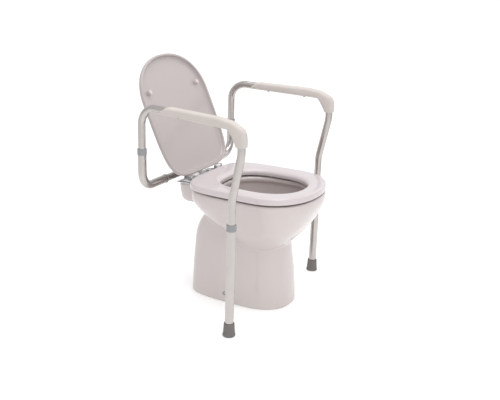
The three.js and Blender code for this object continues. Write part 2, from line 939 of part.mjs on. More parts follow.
function armrestCover() {
  const nose = coverStart + coverNose;
  const padEnd = armLength - 80;
  const side = [
    [coverStart, axisZ(coverStart) - coverUnder],
    [padEnd + 27, axisZ(padEnd + 27) - coverUnder],
    [armLength - 32, cornerZ - 24],
    [armLength - 14, cornerZ - bootDrop],
    [armLength + 17.5, cornerZ - bootDrop],
    [armLength + 16.5, cornerZ - 26],
    [armLength + 8, cornerZ - 2],
    [armLength - 6, cornerZ + 6],
    [armLength - 26, cornerZ + 8],
    [padEnd + 27, axisZ(padEnd) + coverTopRise + coverTopGain - 5],
    [padEnd, axisZ(padEnd) + coverTopRise + coverTopGain],
    [nose, axisZ(nose) + coverTopRise],
  ];
  const plan = new THREE.Shape(
    [
      [coverStart - 1, -coverHalf + 2],
      [coverStart + 8, -coverHalf],
      [padEnd + 15, -coverHalf],
      [armLength - 25, -bootHalf],
      [armLength + 20, -bootHalf],
      [armLength + 20, bootHalf],
      [armLength - 25, bootHalf],
      [padEnd + 15, coverHalf],
      [coverStart + 8, coverHalf],
      [coverStart - 1, coverHalf - 2],
    ].map(([x, y]) => new THREE.Vector2(x, y)),
  );
  const low = cornerZ - bootDrop - passBeyond;
  const depth = armZ + coverHalf + coverTopRise - low;
  const planGeometry = new THREE.ExtrudeGeometry(plan, { depth, bevelEnabled: false, steps: 1 });
  planGeometry.translate(0, 0, low);
  let cover = slabXZ(side, coverHalf, 4).intersect(solid(planGeometry));
  const channel = pipe(
    new BentRoute(railCorners(railRearEnd, railFrontEnd)),
    innerRadius + fitGap,
    0,
  );
  cover = cover.subtract(channel);
  for (const s of screwPlaces) {
    const hole = rod(
      "z",
      screwRadius + boreGap,
      axisZ(s),
      axisZ(s) + innerRadius + 2.6,
      { x: s },
      smallSides,
    );
    cover = cover.subtract(hole);
  }
  return cover;
}

// The armrest screw's head presses up under the tube; z = 0 is under the head.
function coverScrew() {
  return turned([
    [0, -2.4],
    [2.6, -2.2],
    [3.8, -0.6],
    [3.8, 0],
    [screwRadius, 0],
    [screwRadius, 2 * innerRadius + 1.8],
    [0, 2 * innerRadius + 2.2],
  ], smallSides);
}

// ---- Telescoping details ----

function legTube() {
  const route = new BentRoute([
    { at: new THREE.Vector3(0, 0, footSole + fitGap) },
    { at: new THREE.Vector3(0, 0, frontCollarTop - collarLip - fitGap) },
  ]);
  const hole = rod(
    "x",
    buttonRadius + boreGap,
    -outerRadius - 1,
    passBeyond - outerBore,
    { z: buttonFrontZ },
    smallSides,
  );
  return pipe(route, outerRadius, outerRadius - outerBore).subtract(hole);
}

// A bore's facets lie outside its circle, so that a tube turned to any angle clears them.
function roundBore(radius) {
  return radius / Math.cos(Math.PI / tubeSides);
}

// A sleeve over the outer tube's end with a lip over its rim; its outer end is at z = 0.
function endSleeve(radius, length, lip) {
  const bore = roundBore(sleeveBore);
  return turned(
    closedProfile([
      [radius - sleeveChamfer, -length],
      [radius, sleeveChamfer - length],
      [radius, -sleeveRounding],
      [radius - sleeveRounding, 0],
      [roundBore(outerBore), 0],
      [roundBore(outerBore), -lip],
      [bore, -lip],
      [bore, -length],
    ]),
  );
}

function rubberFoot() {
  const bore = roundBore(sleeveBore);
  return turned([
    [0, 0],
    [footBaseRadius - 1.5, 0],
    [footBaseRadius, 2],
    [footBaseRadius, 7],
    [footBaseRadius - 1.6, 10],
    [footTopRadius + 0.6, footHeight - 8],
    [footTopRadius, footHeight],
    [bore, footHeight],
    [bore, footSole],
    [0, footSole],
  ]);
}

// A snap button along +X: its outer end is proud of the outer tube and its tip stops just
// short of the inner tube, where a hole of the row lies behind it.
function snapButton() {
  const tip = innerRadius + fitGap;
  const end = outerRadius + buttonProud;
  const made = turned([
    [0, tip],
    [buttonRadius, tip],
    [buttonRadius, end - 1.2],
    [buttonRadius - 1.4, end - 0.2],
    [0, end],
  ], smallSides);
  return made.rotate([0, 90, 0]);
}

// The button's leaf spring in the inner tube: a V whose open end is behind the button.
function leafSpring() {
  const near = innerRadius - innerWall - 1.9;
  const far = innerWall + 1.1 - innerRadius;
  const profile = [
    [near, 6],
    [near - leafThick, 6],
    [near - leafThick, leafThick - 5],
    [far + 2.3 * leafThick, 4 - leafLength],
    [far + leafThick, 6],
    [far, 6],
    [far + 1.4 * leafThick, -leafLength],
    [near, -5],
  ];
  return slabXZ(profile, leafWide / 2);
}

// ---- Assembly ----

const toilet = new THREE.Group();

function addPan() {
  piece(toilet, "pan", pan(), "china");
  for (const [side, hand] of hands) {
    piece(toilet, hand + "_floor_bracket", floorBracket(side), "nylon").position.y = footScrewY;
    const screw = piece(toilet, hand + "_floor_screw", floorScrew(), "steel");
    screw.position.set(side * (screwFace + fitGap), footScrewY, footScrewZ);
    screw.rotation.y = (side * Math.PI) / 2;
  }
}

function addHinges() {
  const headZ = plateTop + fitGap + postBase + fitGap;
  const washerZ = rimHeight - pocketRoof - fitGap - washerThick;
  for (const [side, hand] of hands) {
    const x = side * boltX;
    piece(toilet, hand + "_hinge_post", hingePost(), "zinc").position.x = x;
    const pin = piece(toilet, hand + "_hinge_pin", hingePin(), "steel");
    pin.position.set(x, hingeY, hingeZ);
    pin.rotation.y = Math.PI / 2;
    piece(toilet, hand + "_hinge_bolt", hingeBolt(), "steel").position.set(x, boltY, headZ);
    piece(toilet, hand + "_washer", washer(), "zinc").position.set(x, boltY, washerZ);
    const nut = piece(toilet, hand + "_wing_nut", wingNut(), "nylon");
    nut.position.set(x, boltY, washerZ - fitGap);
  }
  piece(toilet, "mounting_bracket", mountingBracket(), "zinc");
}

function addSeat() {
  piece(toilet, "seat_ring", seatRing(), "seat");
  for (const [side, hand] of hands) piece(toilet, hand + "_seat_arm", seatArm(side), "seat");
  seatBufferPlaces.forEach(([x, y], i) => {
    const made = buffer(seatBufferRadius, seatRise - 2 * fitGap, 6);
    piece(toilet, "seat_buffer_" + (i + 1), made, "buffer")
      .position.set(x, y, rimHeight + fitGap);
  });
}

function addLid() {
  const swing = new THREE.Group();
  swing.position.set(0, hingeY, hingeZ);
  swing.rotation.x = -lidOpenAngle;
  toilet.add(swing);
  piece(swing, "lid", lid(), "lid");
  const height = lidBufferTop - seatTop - 2 * fitGap;
  for (const [side, hand] of hands) {
    piece(swing, hand + "_lid_arm", lidArm(side), "lid");
    const made = buffer(lidBufferRadius, height, 2.4);
    piece(swing, hand + "_lid_buffer", made, "buffer")
      .position.set(side * lidBufferHalf, -lidBufferReach, seatTop + fitGap - hingeZ);
  }
}

function addElbow(side, hand) {
  piece(toilet, hand + "_elbow_tube", elbowTube(side), "aluminium");
  const collar = endSleeve(collarRadius, collarHeight, collarLip);
  piece(toilet, hand + "_rear_collar", collar, "collar")
    .position.set(side * postX, barY, rearCollarTop);
  const ring = piece(toilet, hand + "_end_ring", endSleeve(ringRadius, ringWide, ringLip), "collar");
  ring.position.set(side * ringX, barY, barZ);
  ring.rotation.y = (-side * Math.PI) / 2;
  const button = piece(toilet, hand + "_width_button", snapButton(), "steel");
  button.position.set(side * buttonWidthX, barY, barZ);
  button.rotation.z = Math.PI / 2;
  const hold = new THREE.Group();
  hold.position.set(side * buttonWidthX, barY, barZ);
  hold.rotation.y = side > 0 ? Math.PI : 0;
  toilet.add(hold);
  const leaf = piece(hold, hand + "_width_leaf", leafSpring(), "steel");
  leaf.rotation.set(Math.PI / 2, 0, Math.PI / 2, "ZYX");
}

function addRail(side, hand) {
  const rail = new THREE.Group();
  rail.position.set(side * postX, barY, 0);
  rail.rotation.z = railTurn(side);
  toilet.add(rail);
  piece(rail, hand + "_rail_tube", railTube(), "aluminium");
  piece(rail, hand + "_armrest", armrestCover(), "armrest");
  screwPlaces.forEach((s, i) => {
    const seatZ = axisZ(s) - innerRadius - fitGap - 0.4;
    piece(rail, hand + "_armrest_screw_" + (i + 1), coverScrew(), "steel")
      .position.set(s, 0, seatZ);
  });
  piece(rail, hand + "_rear_button", snapButton(), "steel").position.z = buttonRearZ;
  piece(rail, hand + "_rear_leaf", leafSpring(), "steel").position.z = buttonRearZ;

  const leg = new THREE.Group();
  leg.position.x = legS;
  rail.add(leg);
  piece(leg, hand + "_leg_tube", legTube(), "aluminium");
  const collar = endSleeve(collarRadius, collarHeight, collarLip);
  piece(leg, hand + "_front_collar", collar, "collar").position.z = frontCollarTop;
  piece(leg, hand + "_foot", rubberFoot(), "rubber");
  for (const [name, made] of [["_front_button", snapButton()], ["_front_leaf", leafSpring()]]) {
    const mesh = piece(leg, hand + name, made, "steel");
    mesh.position.z = buttonFrontZ;
    mesh.rotation.z = Math.PI;
  }
}

const hands = [
  [-1, "right"],
  [1, "left"],
];

addPan();
addHinges();
addSeat();
addLid();
for (const [side, hand] of hands) {
  addElbow(side, hand);
  addRail(side, hand);
}

const footprint = new THREE.Box3().setFromObject(toilet);
toilet.position.y = -(footprint.min.y + footprint.max.y) / 2;

export default toilet;
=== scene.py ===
"""Builds the finished surfaces of a toilet and its clamp-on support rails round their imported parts.

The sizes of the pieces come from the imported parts' boxes and from the property groups below.
Lengths are in metres, +Z is up and the seated user faces -Y.
"""

import json
import math

import bmesh
import bpy
from bpy.props import FloatProperty, FloatVectorProperty, IntProperty, PointerProperty
from mathutils import Matrix, Vector


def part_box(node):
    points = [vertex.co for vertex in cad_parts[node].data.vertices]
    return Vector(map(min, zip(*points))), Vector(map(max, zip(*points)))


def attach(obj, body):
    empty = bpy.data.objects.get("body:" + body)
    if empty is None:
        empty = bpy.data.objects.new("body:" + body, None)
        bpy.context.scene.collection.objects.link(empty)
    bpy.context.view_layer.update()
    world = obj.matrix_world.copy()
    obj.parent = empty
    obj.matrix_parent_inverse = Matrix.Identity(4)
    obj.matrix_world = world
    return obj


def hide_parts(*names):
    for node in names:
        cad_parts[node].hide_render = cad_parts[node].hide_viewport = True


bl_info = {
    "name": "Toilet with Support Rails",
    "version": (1, 0, 0),
    "blender": (4, 5, 0),
    "location": "3D View > Sidebar > Toilet",
    "description": "Builds a toilet with its seat, lid and a pair of adjustable support rails",
    "category": "Add Mesh",
}

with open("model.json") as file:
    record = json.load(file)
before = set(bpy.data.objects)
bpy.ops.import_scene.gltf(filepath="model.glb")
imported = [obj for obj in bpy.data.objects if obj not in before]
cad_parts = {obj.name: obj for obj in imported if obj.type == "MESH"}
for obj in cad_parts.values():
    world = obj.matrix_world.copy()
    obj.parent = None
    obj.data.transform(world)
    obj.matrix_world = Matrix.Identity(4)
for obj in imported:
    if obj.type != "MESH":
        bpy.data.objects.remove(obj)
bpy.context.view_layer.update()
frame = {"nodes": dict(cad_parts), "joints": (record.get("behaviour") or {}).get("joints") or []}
HANDS = ((-1, "right"), (1, "left"))
MM = 0.001


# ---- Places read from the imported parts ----


def middle(node):
    low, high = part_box(node)
    return (low + high) / 2


def half_width(node, axis):
    low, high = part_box(node)
    return (high[axis] - low[axis]) / 2


PAN_LOW, PAN_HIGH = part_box("pan")
SEAT_LOW, SEAT_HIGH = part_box("seat_ring")
LIFT = MM * 0.4  # gap between pieces that touch
JOINTS = {joint["name"]: joint for joint in frame["joints"]}
HINGE = Vector(JOINTS["seat_hinge"]["pos_m"])
LID_OPEN = -math.radians(JOINTS["lid_hinge"]["range_deg"][0])
BAR = middle("left_end_ring")
POST_X = middle("left_rear_collar").x
BOLT_X = middle("left_hinge_bolt").x
EYE_RADIUS = MM * 7.5
PIN_BORE = MM * 3.4
BOLT_BORE = MM * 4.4
PLATE_MARGIN = MM * 27
PLATE_THICK = MM * 3
FLANGE_HALF = MM * 60


# ---- Sizes and colours ----


def length(name, description, default, low=0.0):
    return FloatProperty(
        name=name, description=description, default=default, min=low, precision=4, unit="LENGTH"
    )


def colour(name, description, default):
    return FloatVectorProperty(
        name=name, description=description, default=default, size=3, min=0, max=1, subtype="COLOR"
    )


def linear(red, green, blue):
    """Colour from the 0 to 255 numbers that a colour picker shows."""
    def one(value):
        share = value / 255
        return share / 12.92 if share <= 0.04045 else ((share + 0.055) / 1.055) ** 2.4
    return tuple(one(value) for value in (red, green, blue))


class ToiletPanSizes(bpy.types.PropertyGroup):
    """Sizes of the china pan"""

    bowl_half: length("Bowl Half Width", "Half of the rim's width", PAN_HIGH.x)
    ledge_half: length("Ledge Half Width", "Half of the rear ledge's width", BOLT_X + 33 * MM)
    ledge_depth: length("Ledge Depth", "Height of the rear ledge's side", 65 * MM)
    foot_half: length("Foot Half Width", "Half of the pedestal's width on the floor", 116 * MM)
    foot_front: length("Foot Front", "Bowl's front to the pedestal's front", 80 * MM)
    foot_rear: length("Foot Rear", "Ledge's rear to the pedestal's rear", 40 * MM)
    wall: length("Wall", "Thickness of the china", 15 * MM)
    grain: length("Casting Grain", "Spacing of the skin's vertices", 3.5 * MM, 1 * MM)
    softness: IntProperty(
        name="Softness", description="How far the glaze rounds the corners", default=16, min=0
    )


class ToiletSeatSizes(bpy.types.PropertyGroup):
    """Sizes of the seat and the lid"""

    hole_half: length("Hole Half Width", "Half of the seat hole's width", 122 * MM)
    hole_front: length("Hole Front", "Seat's front to the hole's front", 58 * MM)
    hole_rear: length("Hole Rear", "Hole's rear to the seat's rear", 81 * MM)
    crown: length("Crown", "How far the seat's top falls towards its edges", 1.1 * MM)
    lid_overhang: length("Lid Overhang", "How far the lid is larger than the seat", 2 * MM)
    lid_rise: length("Lid Rise", "Gap between the seat and the closed lid's rim", 2 * MM)
    lid_height: length("Lid Height", "Height of the lid's shell", 17.4 * MM)
    lid_panel: length("Lid Panel", "Thickness of the lid's panel", 5 * MM)
    lid_rim: length("Lid Rim", "Thickness of the lid's rim", 8 * MM)


class ToiletRailSizes(bpy.types.PropertyGroup):
    """Sizes of the support rails"""

    inner_radius: length("Inner Tube Radius", "Outer radius of the rails and the bar", 12.4 * MM)
    inner_wall: length("Inner Tube Wall", "Wall of the rails and the bar", 1.5 * MM)
    outer_radius: length("Outer Tube Radius", "Outer radius of the elbows and legs", 14.2 * MM)
    outer_bore: length("Outer Tube Bore", "Inner radius of the elbows and legs", 12.9 * MM)
    elbow_bend: length("Elbow Bend", "Bend radius of the elbows' axis", 52 * MM)
    arm_rise: length("Arm Rise", "Rear corner above the bar's axis", 271 * MM)
    arm_length: length("Arm Length", "Rear post to the front corner", 386 * MM)
    arm_drop: length("Arm Drop", "Fall of the rail from rear to front", 17 * MM)
    shoulder_drop: length("Shoulder Drop", "Front corner to the upper bend", 80 * MM)
    knee_drop: length("Knee Drop", "Upper bend to the lower bend", 147 * MM)
    top_bend: length("Rear Corner Bend", "Bend radius of the rear corner", 58 * MM)
    corner_bend: length("Front Corner Bend", "Bend radius of the front corner", 46 * MM)
    slant_bend: length("Slant Bend", "Bend radius of the two slight bends", 120 * MM)
    button_radius: length("Button Radius", "Radius of the snap buttons", 4 * MM)
    hole_pitch: length("Hole Pitch", "Spacing of the adjusting holes", 20 * MM)


class ToiletColours(bpy.types.PropertyGroup):
    """Colours of the finishes"""

    china: colour("China", "Glazed pan", linear(199, 190, 188))
    seat: colour("Seat", "Seat ring", linear(200, 191, 193))
    lid: colour("Lid", "Lid", linear(172, 163, 162))
    armrest: colour("Armrest", "Armrest covers", linear(198, 190, 185))
    tube: colour("Tube", "Anodised tubes", linear(186, 181, 178))
    zinc: colour("Zinc", "Plated bracket and hinge posts", linear(226, 226, 228))
    steel: colour("Steel", "Pins, screws and buttons", linear(176, 177, 180))
    collar: colour("Collar", "Grey sleeves", linear(146, 146, 149))
    rubber: colour("Rubber", "Feet", linear(113, 109, 107))
    nylon: colour("Nylon", "Wing nuts and floor brackets", linear(226, 222, 215))
    buffer: colour("Buffer", "Seat and lid buffers", linear(200, 193, 193))


# ---- Materials ----


class Value:
    """One shader socket that Python arithmetic works on."""

    def __init__(self, finish, socket):
        self.finish = finish
        self.socket = socket

    def math(self, operation, first, second):
        return self.finish.node("ShaderNodeMath", {"operation": operation}, {0: first, 1: second})

    def __add__(self, other):
        return self.math("ADD", self, other)

    def __mul__(self, other):
        return self.math("MULTIPLY", self, other)

    def __sub__(self, other):
        return self.math("SUBTRACT", self, other)

    def __rsub__(self, other):
        return self.math("SUBTRACT", other, self)

    __radd__ = __add__
    __rmul__ = __mul__


class Finish:
    """A material round one Principled shader, with short calls for the nodes that vary it."""

    def __init__(self, name, **constants):
        self.material = bpy.data.materials.new(name)
        self.material.use_nodes = True
        self.tree = self.material.node_tree
        self.tree.nodes.clear()
        self.shader = self.tree.nodes.new("ShaderNodeBsdfPrincipled")
        output = self.tree.nodes.new("ShaderNodeOutputMaterial")
        self.tree.links.new(self.shader.outputs["BSDF"], output.inputs["Surface"])
        for socket, value in constants.items():
            self.shader.inputs[socket.replace("_", " ")].default_value = value

    def node(self, kind, settings, sockets, output=0):
        made = self.tree.nodes.new(kind)
        for name, value in settings.items():
            setattr(made, name, value)
        for name, value in sockets.items():
            self.fill(made.inputs[name], value)
        return Value(self, made.outputs[output])

    def fill(self, socket, value):
        if isinstance(value, Value):
            self.tree.links.new(value.socket, socket)
        else:
            socket.default_value = value

    def feed(self, **values):
        for name, value in values.items():
            self.fill(self.shader.inputs[name.replace("_", " ")], value)
        return self.material

    def place(self, stretch=(1, 1, 1), source="Object"):
        """Object coordinates, or the piece's own map for source="UV", stretched along the axes."""
        coordinates = self.node("ShaderNodeTexCoord", {}, {}, source)
        return self.node("ShaderNodeMapping", {}, {"Vector": coordinates, "Scale": stretch})

    def noise(self, scale, detail=2.0, roughness=0.5, at=None):
        sockets = {"Scale": scale, "Detail": detail, "Roughness": roughness}
        return self.node("ShaderNodeTexNoise", {}, {"Vector": at or self.place(), **sockets})

    def cells(self, scale, at=None):
        return self.node("ShaderNodeTexVoronoi", {}, {"Vector": at or self.place(), "Scale": scale})

    def ramp(self, factor, low, high):
        sockets = {"Value": factor, "From Min": low, "From Max": high}
        return self.node("ShaderNodeMapRange", {"clamp": True}, sockets)

    def mix(self, factor, first, second):
        first, second = (c if isinstance(c, Value) else (*c, 1) for c in (first, second))
        sockets = {0: factor, 6: first, 7: second}
        return self.node("ShaderNodeMix", {"data_type": "RGBA"}, sockets, 2)

    def bump(self, height, distance, strength=1.0):
        sockets = {"Height": height, "Distance": distance, "Strength": strength}
        return self.node("ShaderNodeBump", {}, sockets)


def shade(tint, share):
    return tuple(channel * share for channel in tint)


def china_finish(name, tint):
    """Thick clear glaze over fired clay: a slow ripple, faint mottling and a few pinholes."""
    glaze = Finish(name, IOR=1.45, Coat_Weight=0.2, Coat_Roughness=0.05)
    ripple = glaze.noise(26, 2.5)
    peel = glaze.noise(210, 2)
    pinholes = glaze.ramp(glaze.cells(190), 0.035, 0.0) * glaze.ramp(glaze.noise(31, 1), 0.6, 0.7)
    mottled = glaze.mix(glaze.ramp(glaze.noise(7, 4), 0.3, 0.7), shade(tint, 0.965), tint)
    return glaze.feed(
        Base_Color=glaze.mix(pinholes * 0.5, mottled, shade(tint, 0.55)),
        Roughness=0.1 + glaze.noise(48, 3) * 0.1,
        Normal=glaze.bump(ripple + peel * 0.12 - pinholes * 0.3, 0.45 * MM, 0.5),
    )


def moulded_finish(name, tint, gloss, peel):
    """Moulded plastic: a trace of flow lines, fine peel and hair scratches in the gloss."""
    plastic = Finish(name, IOR=1.5, Coat_Weight=0.25, Coat_Roughness=0.08)
    flow = plastic.noise(9, 5, 0.6, plastic.place((1, 0.35, 1)))
    scratches = plastic.ramp(plastic.noise(160, 2, 0.5, plastic.place((14, 1, 1))), 0.68, 0.76)
    return plastic.feed(
        Base_Color=plastic.mix(plastic.ramp(flow, 0.35, 0.65), shade(tint, 0.98), tint),
        Roughness=gloss + plastic.noise(65, 3) * 0.06 + scratches * 0.03,
        Normal=plastic.bump(plastic.noise(420, 2) * 0.5 + flow * 0.8, peel * MM, 0.3),
    )


def leathered_finish(name, tint, roughness, pebble, depth):
    """Matt moulding with a pebbled skin: worn patches rubbed smoother and darker, and painted shade
    darkening the valleys between the pebbles.
    """
    skin = Finish(name, IOR=1.46)
    # The pebble mask is high in the valleys: it sinks the bump there and also paints shade into the
    # colour.
    pebbles = skin.ramp(skin.cells(pebble), 0.05, 0.6)
    wear = skin.ramp(skin.noise(24, 5, 0.6), 0.35, 0.7)
    return skin.feed(
        # Colour: darker in worn patches, plus painted shade in the valleys between the pebbles.
        Base_Color=skin.mix(wear * 0.6 + pebbles * 0.4, tint, shade(tint, 0.93)),
        Roughness=roughness - wear * 0.1 + pebbles * 0.05,
        Normal=skin.bump((1 - pebbles) + skin.noise(pebble * 2.5, 2) * 0.3, depth * MM, 0.6),
    )


def drawn_finish(name, tint, roughness):
    """Satin anodised tube: fine lines along its length, with a cloudy bloom between them."""
    metal = Finish(name, Metallic=1.0)
    lines = metal.noise(90, 4, 0.65, metal.place((7, 1, 1), "UV"))
    bloom = metal.noise(38, 4)
    return metal.feed(
        Base_Color=metal.mix(metal.ramp(bloom, 0.3, 0.75), shade(tint, 0.93), tint),
        Roughness=roughness + lines * 0.1 + bloom * 0.08,
        Normal=metal.bump(lines, 0.05 * MM, 0.35),
    )


def plated_finish(name, tint, roughness, grain=340):
    """Plated or polished metal with a fine grain and handling marks."""
    metal = Finish(name, Metallic=1.0)
    marks = metal.ramp(metal.noise(55, 5, 0.7), 0.45, 0.75)
    return metal.feed(
        Base_Color=metal.mix(marks, tint, shade(tint, 0.86)),
        Roughness=roughness + marks * 0.14,
        Normal=metal.bump(metal.noise(grain, 3) + marks * 0.4, 0.04 * MM, 0.4),
    )


class Palette:
    """The finishes by their slot in the record, each made once."""

    recipes = {
        "china": (china_finish, "glazed_china", "china"),
        "seat": (moulded_finish, "seat_plastic", "seat", 0.13, 0.05),
        "lid": (moulded_finish, "lid_plastic", "lid", 0.3, 0.04),
        "armrest": (leathered_finish, "armrest_skin", "armrest", 0.62, 900, 0.12),
        "tube": (drawn_finish, "anodised_tube", "tube", 0.13),
        "zinc": (plated_finish, "zinc_plate", "zinc", 0.36),
        "steel": (plated_finish, "polished_steel", "steel", 0.16, 600),
        "collar": (leathered_finish, "collar_plastic", "collar", 0.46, 1500, 0.05),
        "foot_rubber": (leathered_finish, "foot_rubber", "rubber", 0.78, 1100, 0.1),
        "nylon": (moulded_finish, "nylon", "nylon", 0.4, 0.2),
        "buffer": (leathered_finish, "buffer_elastomer", "buffer", 0.6, 1400, 0.06),
    }
    made = {}

    @classmethod
    def of(cls, slot):
        if slot not in cls.made:
            make, name, tint, *character = cls.recipes[slot]
            tints = bpy.context.scene.toilet_colours
            cls.made[slot] = make(name, getattr(tints, tint), *character)
        return cls.made[slot]


# ---- Modelling helpers ----


def deselect():
    if bpy.context.mode != "OBJECT":
        bpy.ops.object.mode_set(mode="OBJECT")
    bpy.ops.object.select_all(action="DESELECT")


def activate(*pieces):
    deselect()
    for piece in pieces:
        piece.select_set(True)
    bpy.context.view_layer.objects.active = pieces[0]


def ringed(name, rings, closed=False):
    """A skin of quads through equal rings of points: a circle extruded once for each ring.

    A closed skin joins its last ring to its first; an open one is capped at both ends. Its map
    runs once round each ring and, in metres, along the rings.
    """
    sides = len(rings[0])
    deselect()
    bpy.ops.mesh.primitive_circle_add(vertices=sides, radius=1, fill_type="NOTHING")
    piece = bpy.context.object
    piece.name = piece.data.name = name
    bpy.ops.object.mode_set(mode="EDIT")
    bpy.ops.mesh.select_all(action="SELECT")
    for _ in rings[1:]:
        bpy.ops.mesh.extrude_region_move(TRANSFORM_OT_translate={"value": (0, 0, 1)})
    skin = bmesh.from_edit_mesh(piece.data)
    spots = {}
    for vertex in skin.verts:
        turn = math.atan2(vertex.co.y, vertex.co.x) / math.tau
        spots[vertex] = (round(vertex.co.z), round(turn * sides) % sides)
    for vertex, (level, side) in spots.items():
        vertex.co = rings[level][side]
    travelled = [0.0]
    for before, after in zip(rings, rings[1:]):
        travelled.append(travelled[-1] + (after[0] - before[0]).length)
    layer = skin.loops.layers.uv.verify()
    for face in skin.faces:
        wraps = {spots[loop.vert][1] for loop in face.loops} == {0, sides - 1}
        for loop in face.loops:
            level, side = spots[loop.vert]
            loop[layer].uv = (1 if wraps and side == 0 else side / sides, travelled[level])
    bmesh.update_edit_mesh(piece.data)
    bpy.ops.mesh.select_mode(type="EDGE")
    ends = (0, len(rings) - 1)
    skin = bmesh.from_edit_mesh(piece.data)
    for edges in (ends,) if closed else ((ends[0],), (ends[1],)):
        bpy.ops.mesh.select_all(action="DESELECT")
        wanted = {tuple(rings[level][side].to_tuple(7)) for level in edges for side in range(sides)}
        for edge in skin.edges:
            if edge.is_boundary:
                edge.select_set(all(v.co.to_tuple(7) in wanted for v in edge.verts))
        bmesh.update_edit_mesh(piece.data)
        if closed:
            bpy.ops.mesh.bridge_edge_loops()
        else:
            bpy.ops.mesh.edge_face_add()
        skin = bmesh.from_edit_mesh(piece.data)
    bpy.ops.mesh.select_all(action="SELECT")
    bpy.ops.mesh.normals_make_consistent(inside=False)
    bpy.ops.object.mode_set(mode="OBJECT")
    return piece


def block(name, low, high, bevel=0.0, segments=3):
    """A box between two corners with rounded edges."""
    deselect()
    low, high = Vector(low), Vector(high)
    bpy.ops.mesh.primitive_cube_add(size=1, location=(low + high) / 2, scale=high - low)
    piece = bpy.context.object
    piece.name = piece.data.name = name
    bpy.ops.object.transform_apply(location=True, rotation=True, scale=True)
    if bevel:
        bpy.ops.object.mode_set(mode="EDIT")
        bpy.ops.mesh.select_all(action="SELECT")
        bpy.ops.mesh.bevel(offset=bevel, segments=segments, affect="EDGES")
        bpy.ops.object.mode_set(mode="OBJECT")
    return piece


def plane_of(axis):
    """Two directions square to an axis."""
    axis = Vector(axis).normalized()
    first = Vector((1, 0, 0)) if abs(axis.x) < 0.9 else Vector((0, 1, 0))
    first = (first - axis * first.dot(axis)).normalized()
    return first, axis.cross(first)


def circle_at(centre, axis, radius, sides):
    first, second = plane_of(axis)
    turns = (math.tau * k / sides for k in range(sides))
    return [centre + radius * (math.cos(t) * first + math.sin(t) * second) for t in turns]


def soften(profile, radius, steps=3):
    """A profile with each inner corner rounded off."""
    points = [Vector(p) for p in profile]
    soft = [points[0]]
    for before, corner, after in zip(points, points[1:], points[2:]):
        back, ahead = before - corner, after - corner
        start = corner + back.normalized() * min(radius, back.length * 0.45)
        end = corner + ahead.normalized() * min(radius, ahead.length * 0.45)
        for k in range(steps + 1):
            t = k / steps
            soft.append(start * (1 - t) ** 2 + corner * 2 * t * (1 - t) + end * t ** 2)
    soft.append(points[-1])
    return soft


def turned(name, profile, base, axis, closed=False, sides=48, radius=0.4 * MM):
    """A piece turned about an axis through base; the profile lists (radius, height) pairs."""
    axis = Vector(axis).normalized()
    if closed:
        profile = [*profile, profile[0], profile[1]]
    soft = soften(profile, radius)
    if closed:
        soft = soft[1:-1]
    rings = [circle_at(base + axis * p[1], axis, max(p[0], 0.05 * MM), sides) for p in soft]
    return ringed(name, rings, closed)


def rod(name, radius, low, high, base, axis, sides=48, rounding=0):
    """A plain round rod between two heights on an axis through base."""
    profile = [(0, low), (radius, low), (radius, high), (0, high)]
    return turned(name, profile, base, axis, sides=sides, radius=rounding)


def cut(piece, *cutters, operation="DIFFERENCE"):
    """Cuts, joins or crosses a piece with others, which are used up."""
    for cutter in cutters:
        activate(piece)
        step = piece.modifiers.new("cut", "BOOLEAN")
        step.operation = operation
        step.solver = "EXACT"
        step.object = cutter
        bpy.ops.object.modifier_apply(modifier=step.name)
        bpy.data.objects.remove(cutter)
    return piece


def settle(piece, body, slot, nodes=(), angle=32):
    """Shades a finished piece, gives it its finish and sets it on its body."""
    activate(piece)
    bpy.ops.object.shade_smooth_by_angle(angle=math.radians(angle))
    piece.data.materials.clear()
    piece.data.materials.append(Palette.of(slot))
    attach(piece, body)
    if nodes:
        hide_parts(*nodes)
    return piece


def refinish(node, slot):
    """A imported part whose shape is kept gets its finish."""
    part = frame["nodes"][node]
    part.data.materials.clear()
    part.data.materials.append(Palette.of(slot))


# ---- Outlines ----


class Egg:
    """An egg-shaped outline with a rounded front half and a squarer rear half."""

    def __init__(self, half, front, rear, mid, front_power, rear_power):
        self.half = half
        self.front = front
        self.rear = rear
        self.mid = mid
        self.front_power = front_power
        self.rear_power = rear_power

    def point(self, angle, inset, z, share=1.0):
        c, s = math.cos(angle), math.sin(angle)
        power = 2 / (self.front_power if s < 0 else self.rear_power)
        reach = self.mid - self.front - inset if s < 0 else self.rear - inset - self.mid
        x = (self.half - inset) * math.copysign(abs(c) ** power, c)
        y = reach * math.copysign(abs(s) ** power, s)
        return Vector((x * share, self.mid + y * share, z))

    def ring(self, z, inset=0.0, sides=128, share=1.0):
        return [self.point(math.tau * k / sides, inset, z, share) for k in range(sides)]


def flowing(levels, between=5):
    """Outlines that run smoothly through the given (z, Egg) levels."""
    fields = ("half", "front", "rear", "mid", "front_power", "rear_power")
    rows = [(z, *(getattr(egg, f) for f in fields)) for z, egg in levels]
    made = []
    for i in range(len(rows) - 1):
        four = [rows[max(i - 1, 0)], rows[i], rows[i + 1], rows[min(i + 2, len(rows) - 1)]]
        for k in range(between):
            made.append(catmull(four, k / between))
    made.append(rows[-1])
    return [(row[0], Egg(*row[1:])) for row in made]


def catmull(four, t):
    a, b, c, d = four
    return [
        0.5 * (2 * q + (r - p) * t + (2 * p - 5 * q + 4 * r - s) * t * t
               + (3 * q - p - 3 * r + s) * t ** 3)
        for p, q, r, s in zip(a, b, c, d)
    ]


def lofted(name, levels, sides=200):
    return ringed(name, [egg.ring(z, sides=sides) for z, egg in flowing(levels)])


def seat_outline():
    half = SEAT_HIGH.x
    return Egg(half, SEAT_LOW.y, SEAT_HIGH.y, SEAT_LOW.y + 158 * MM, 2.2, 5)


# ---- Pan ----


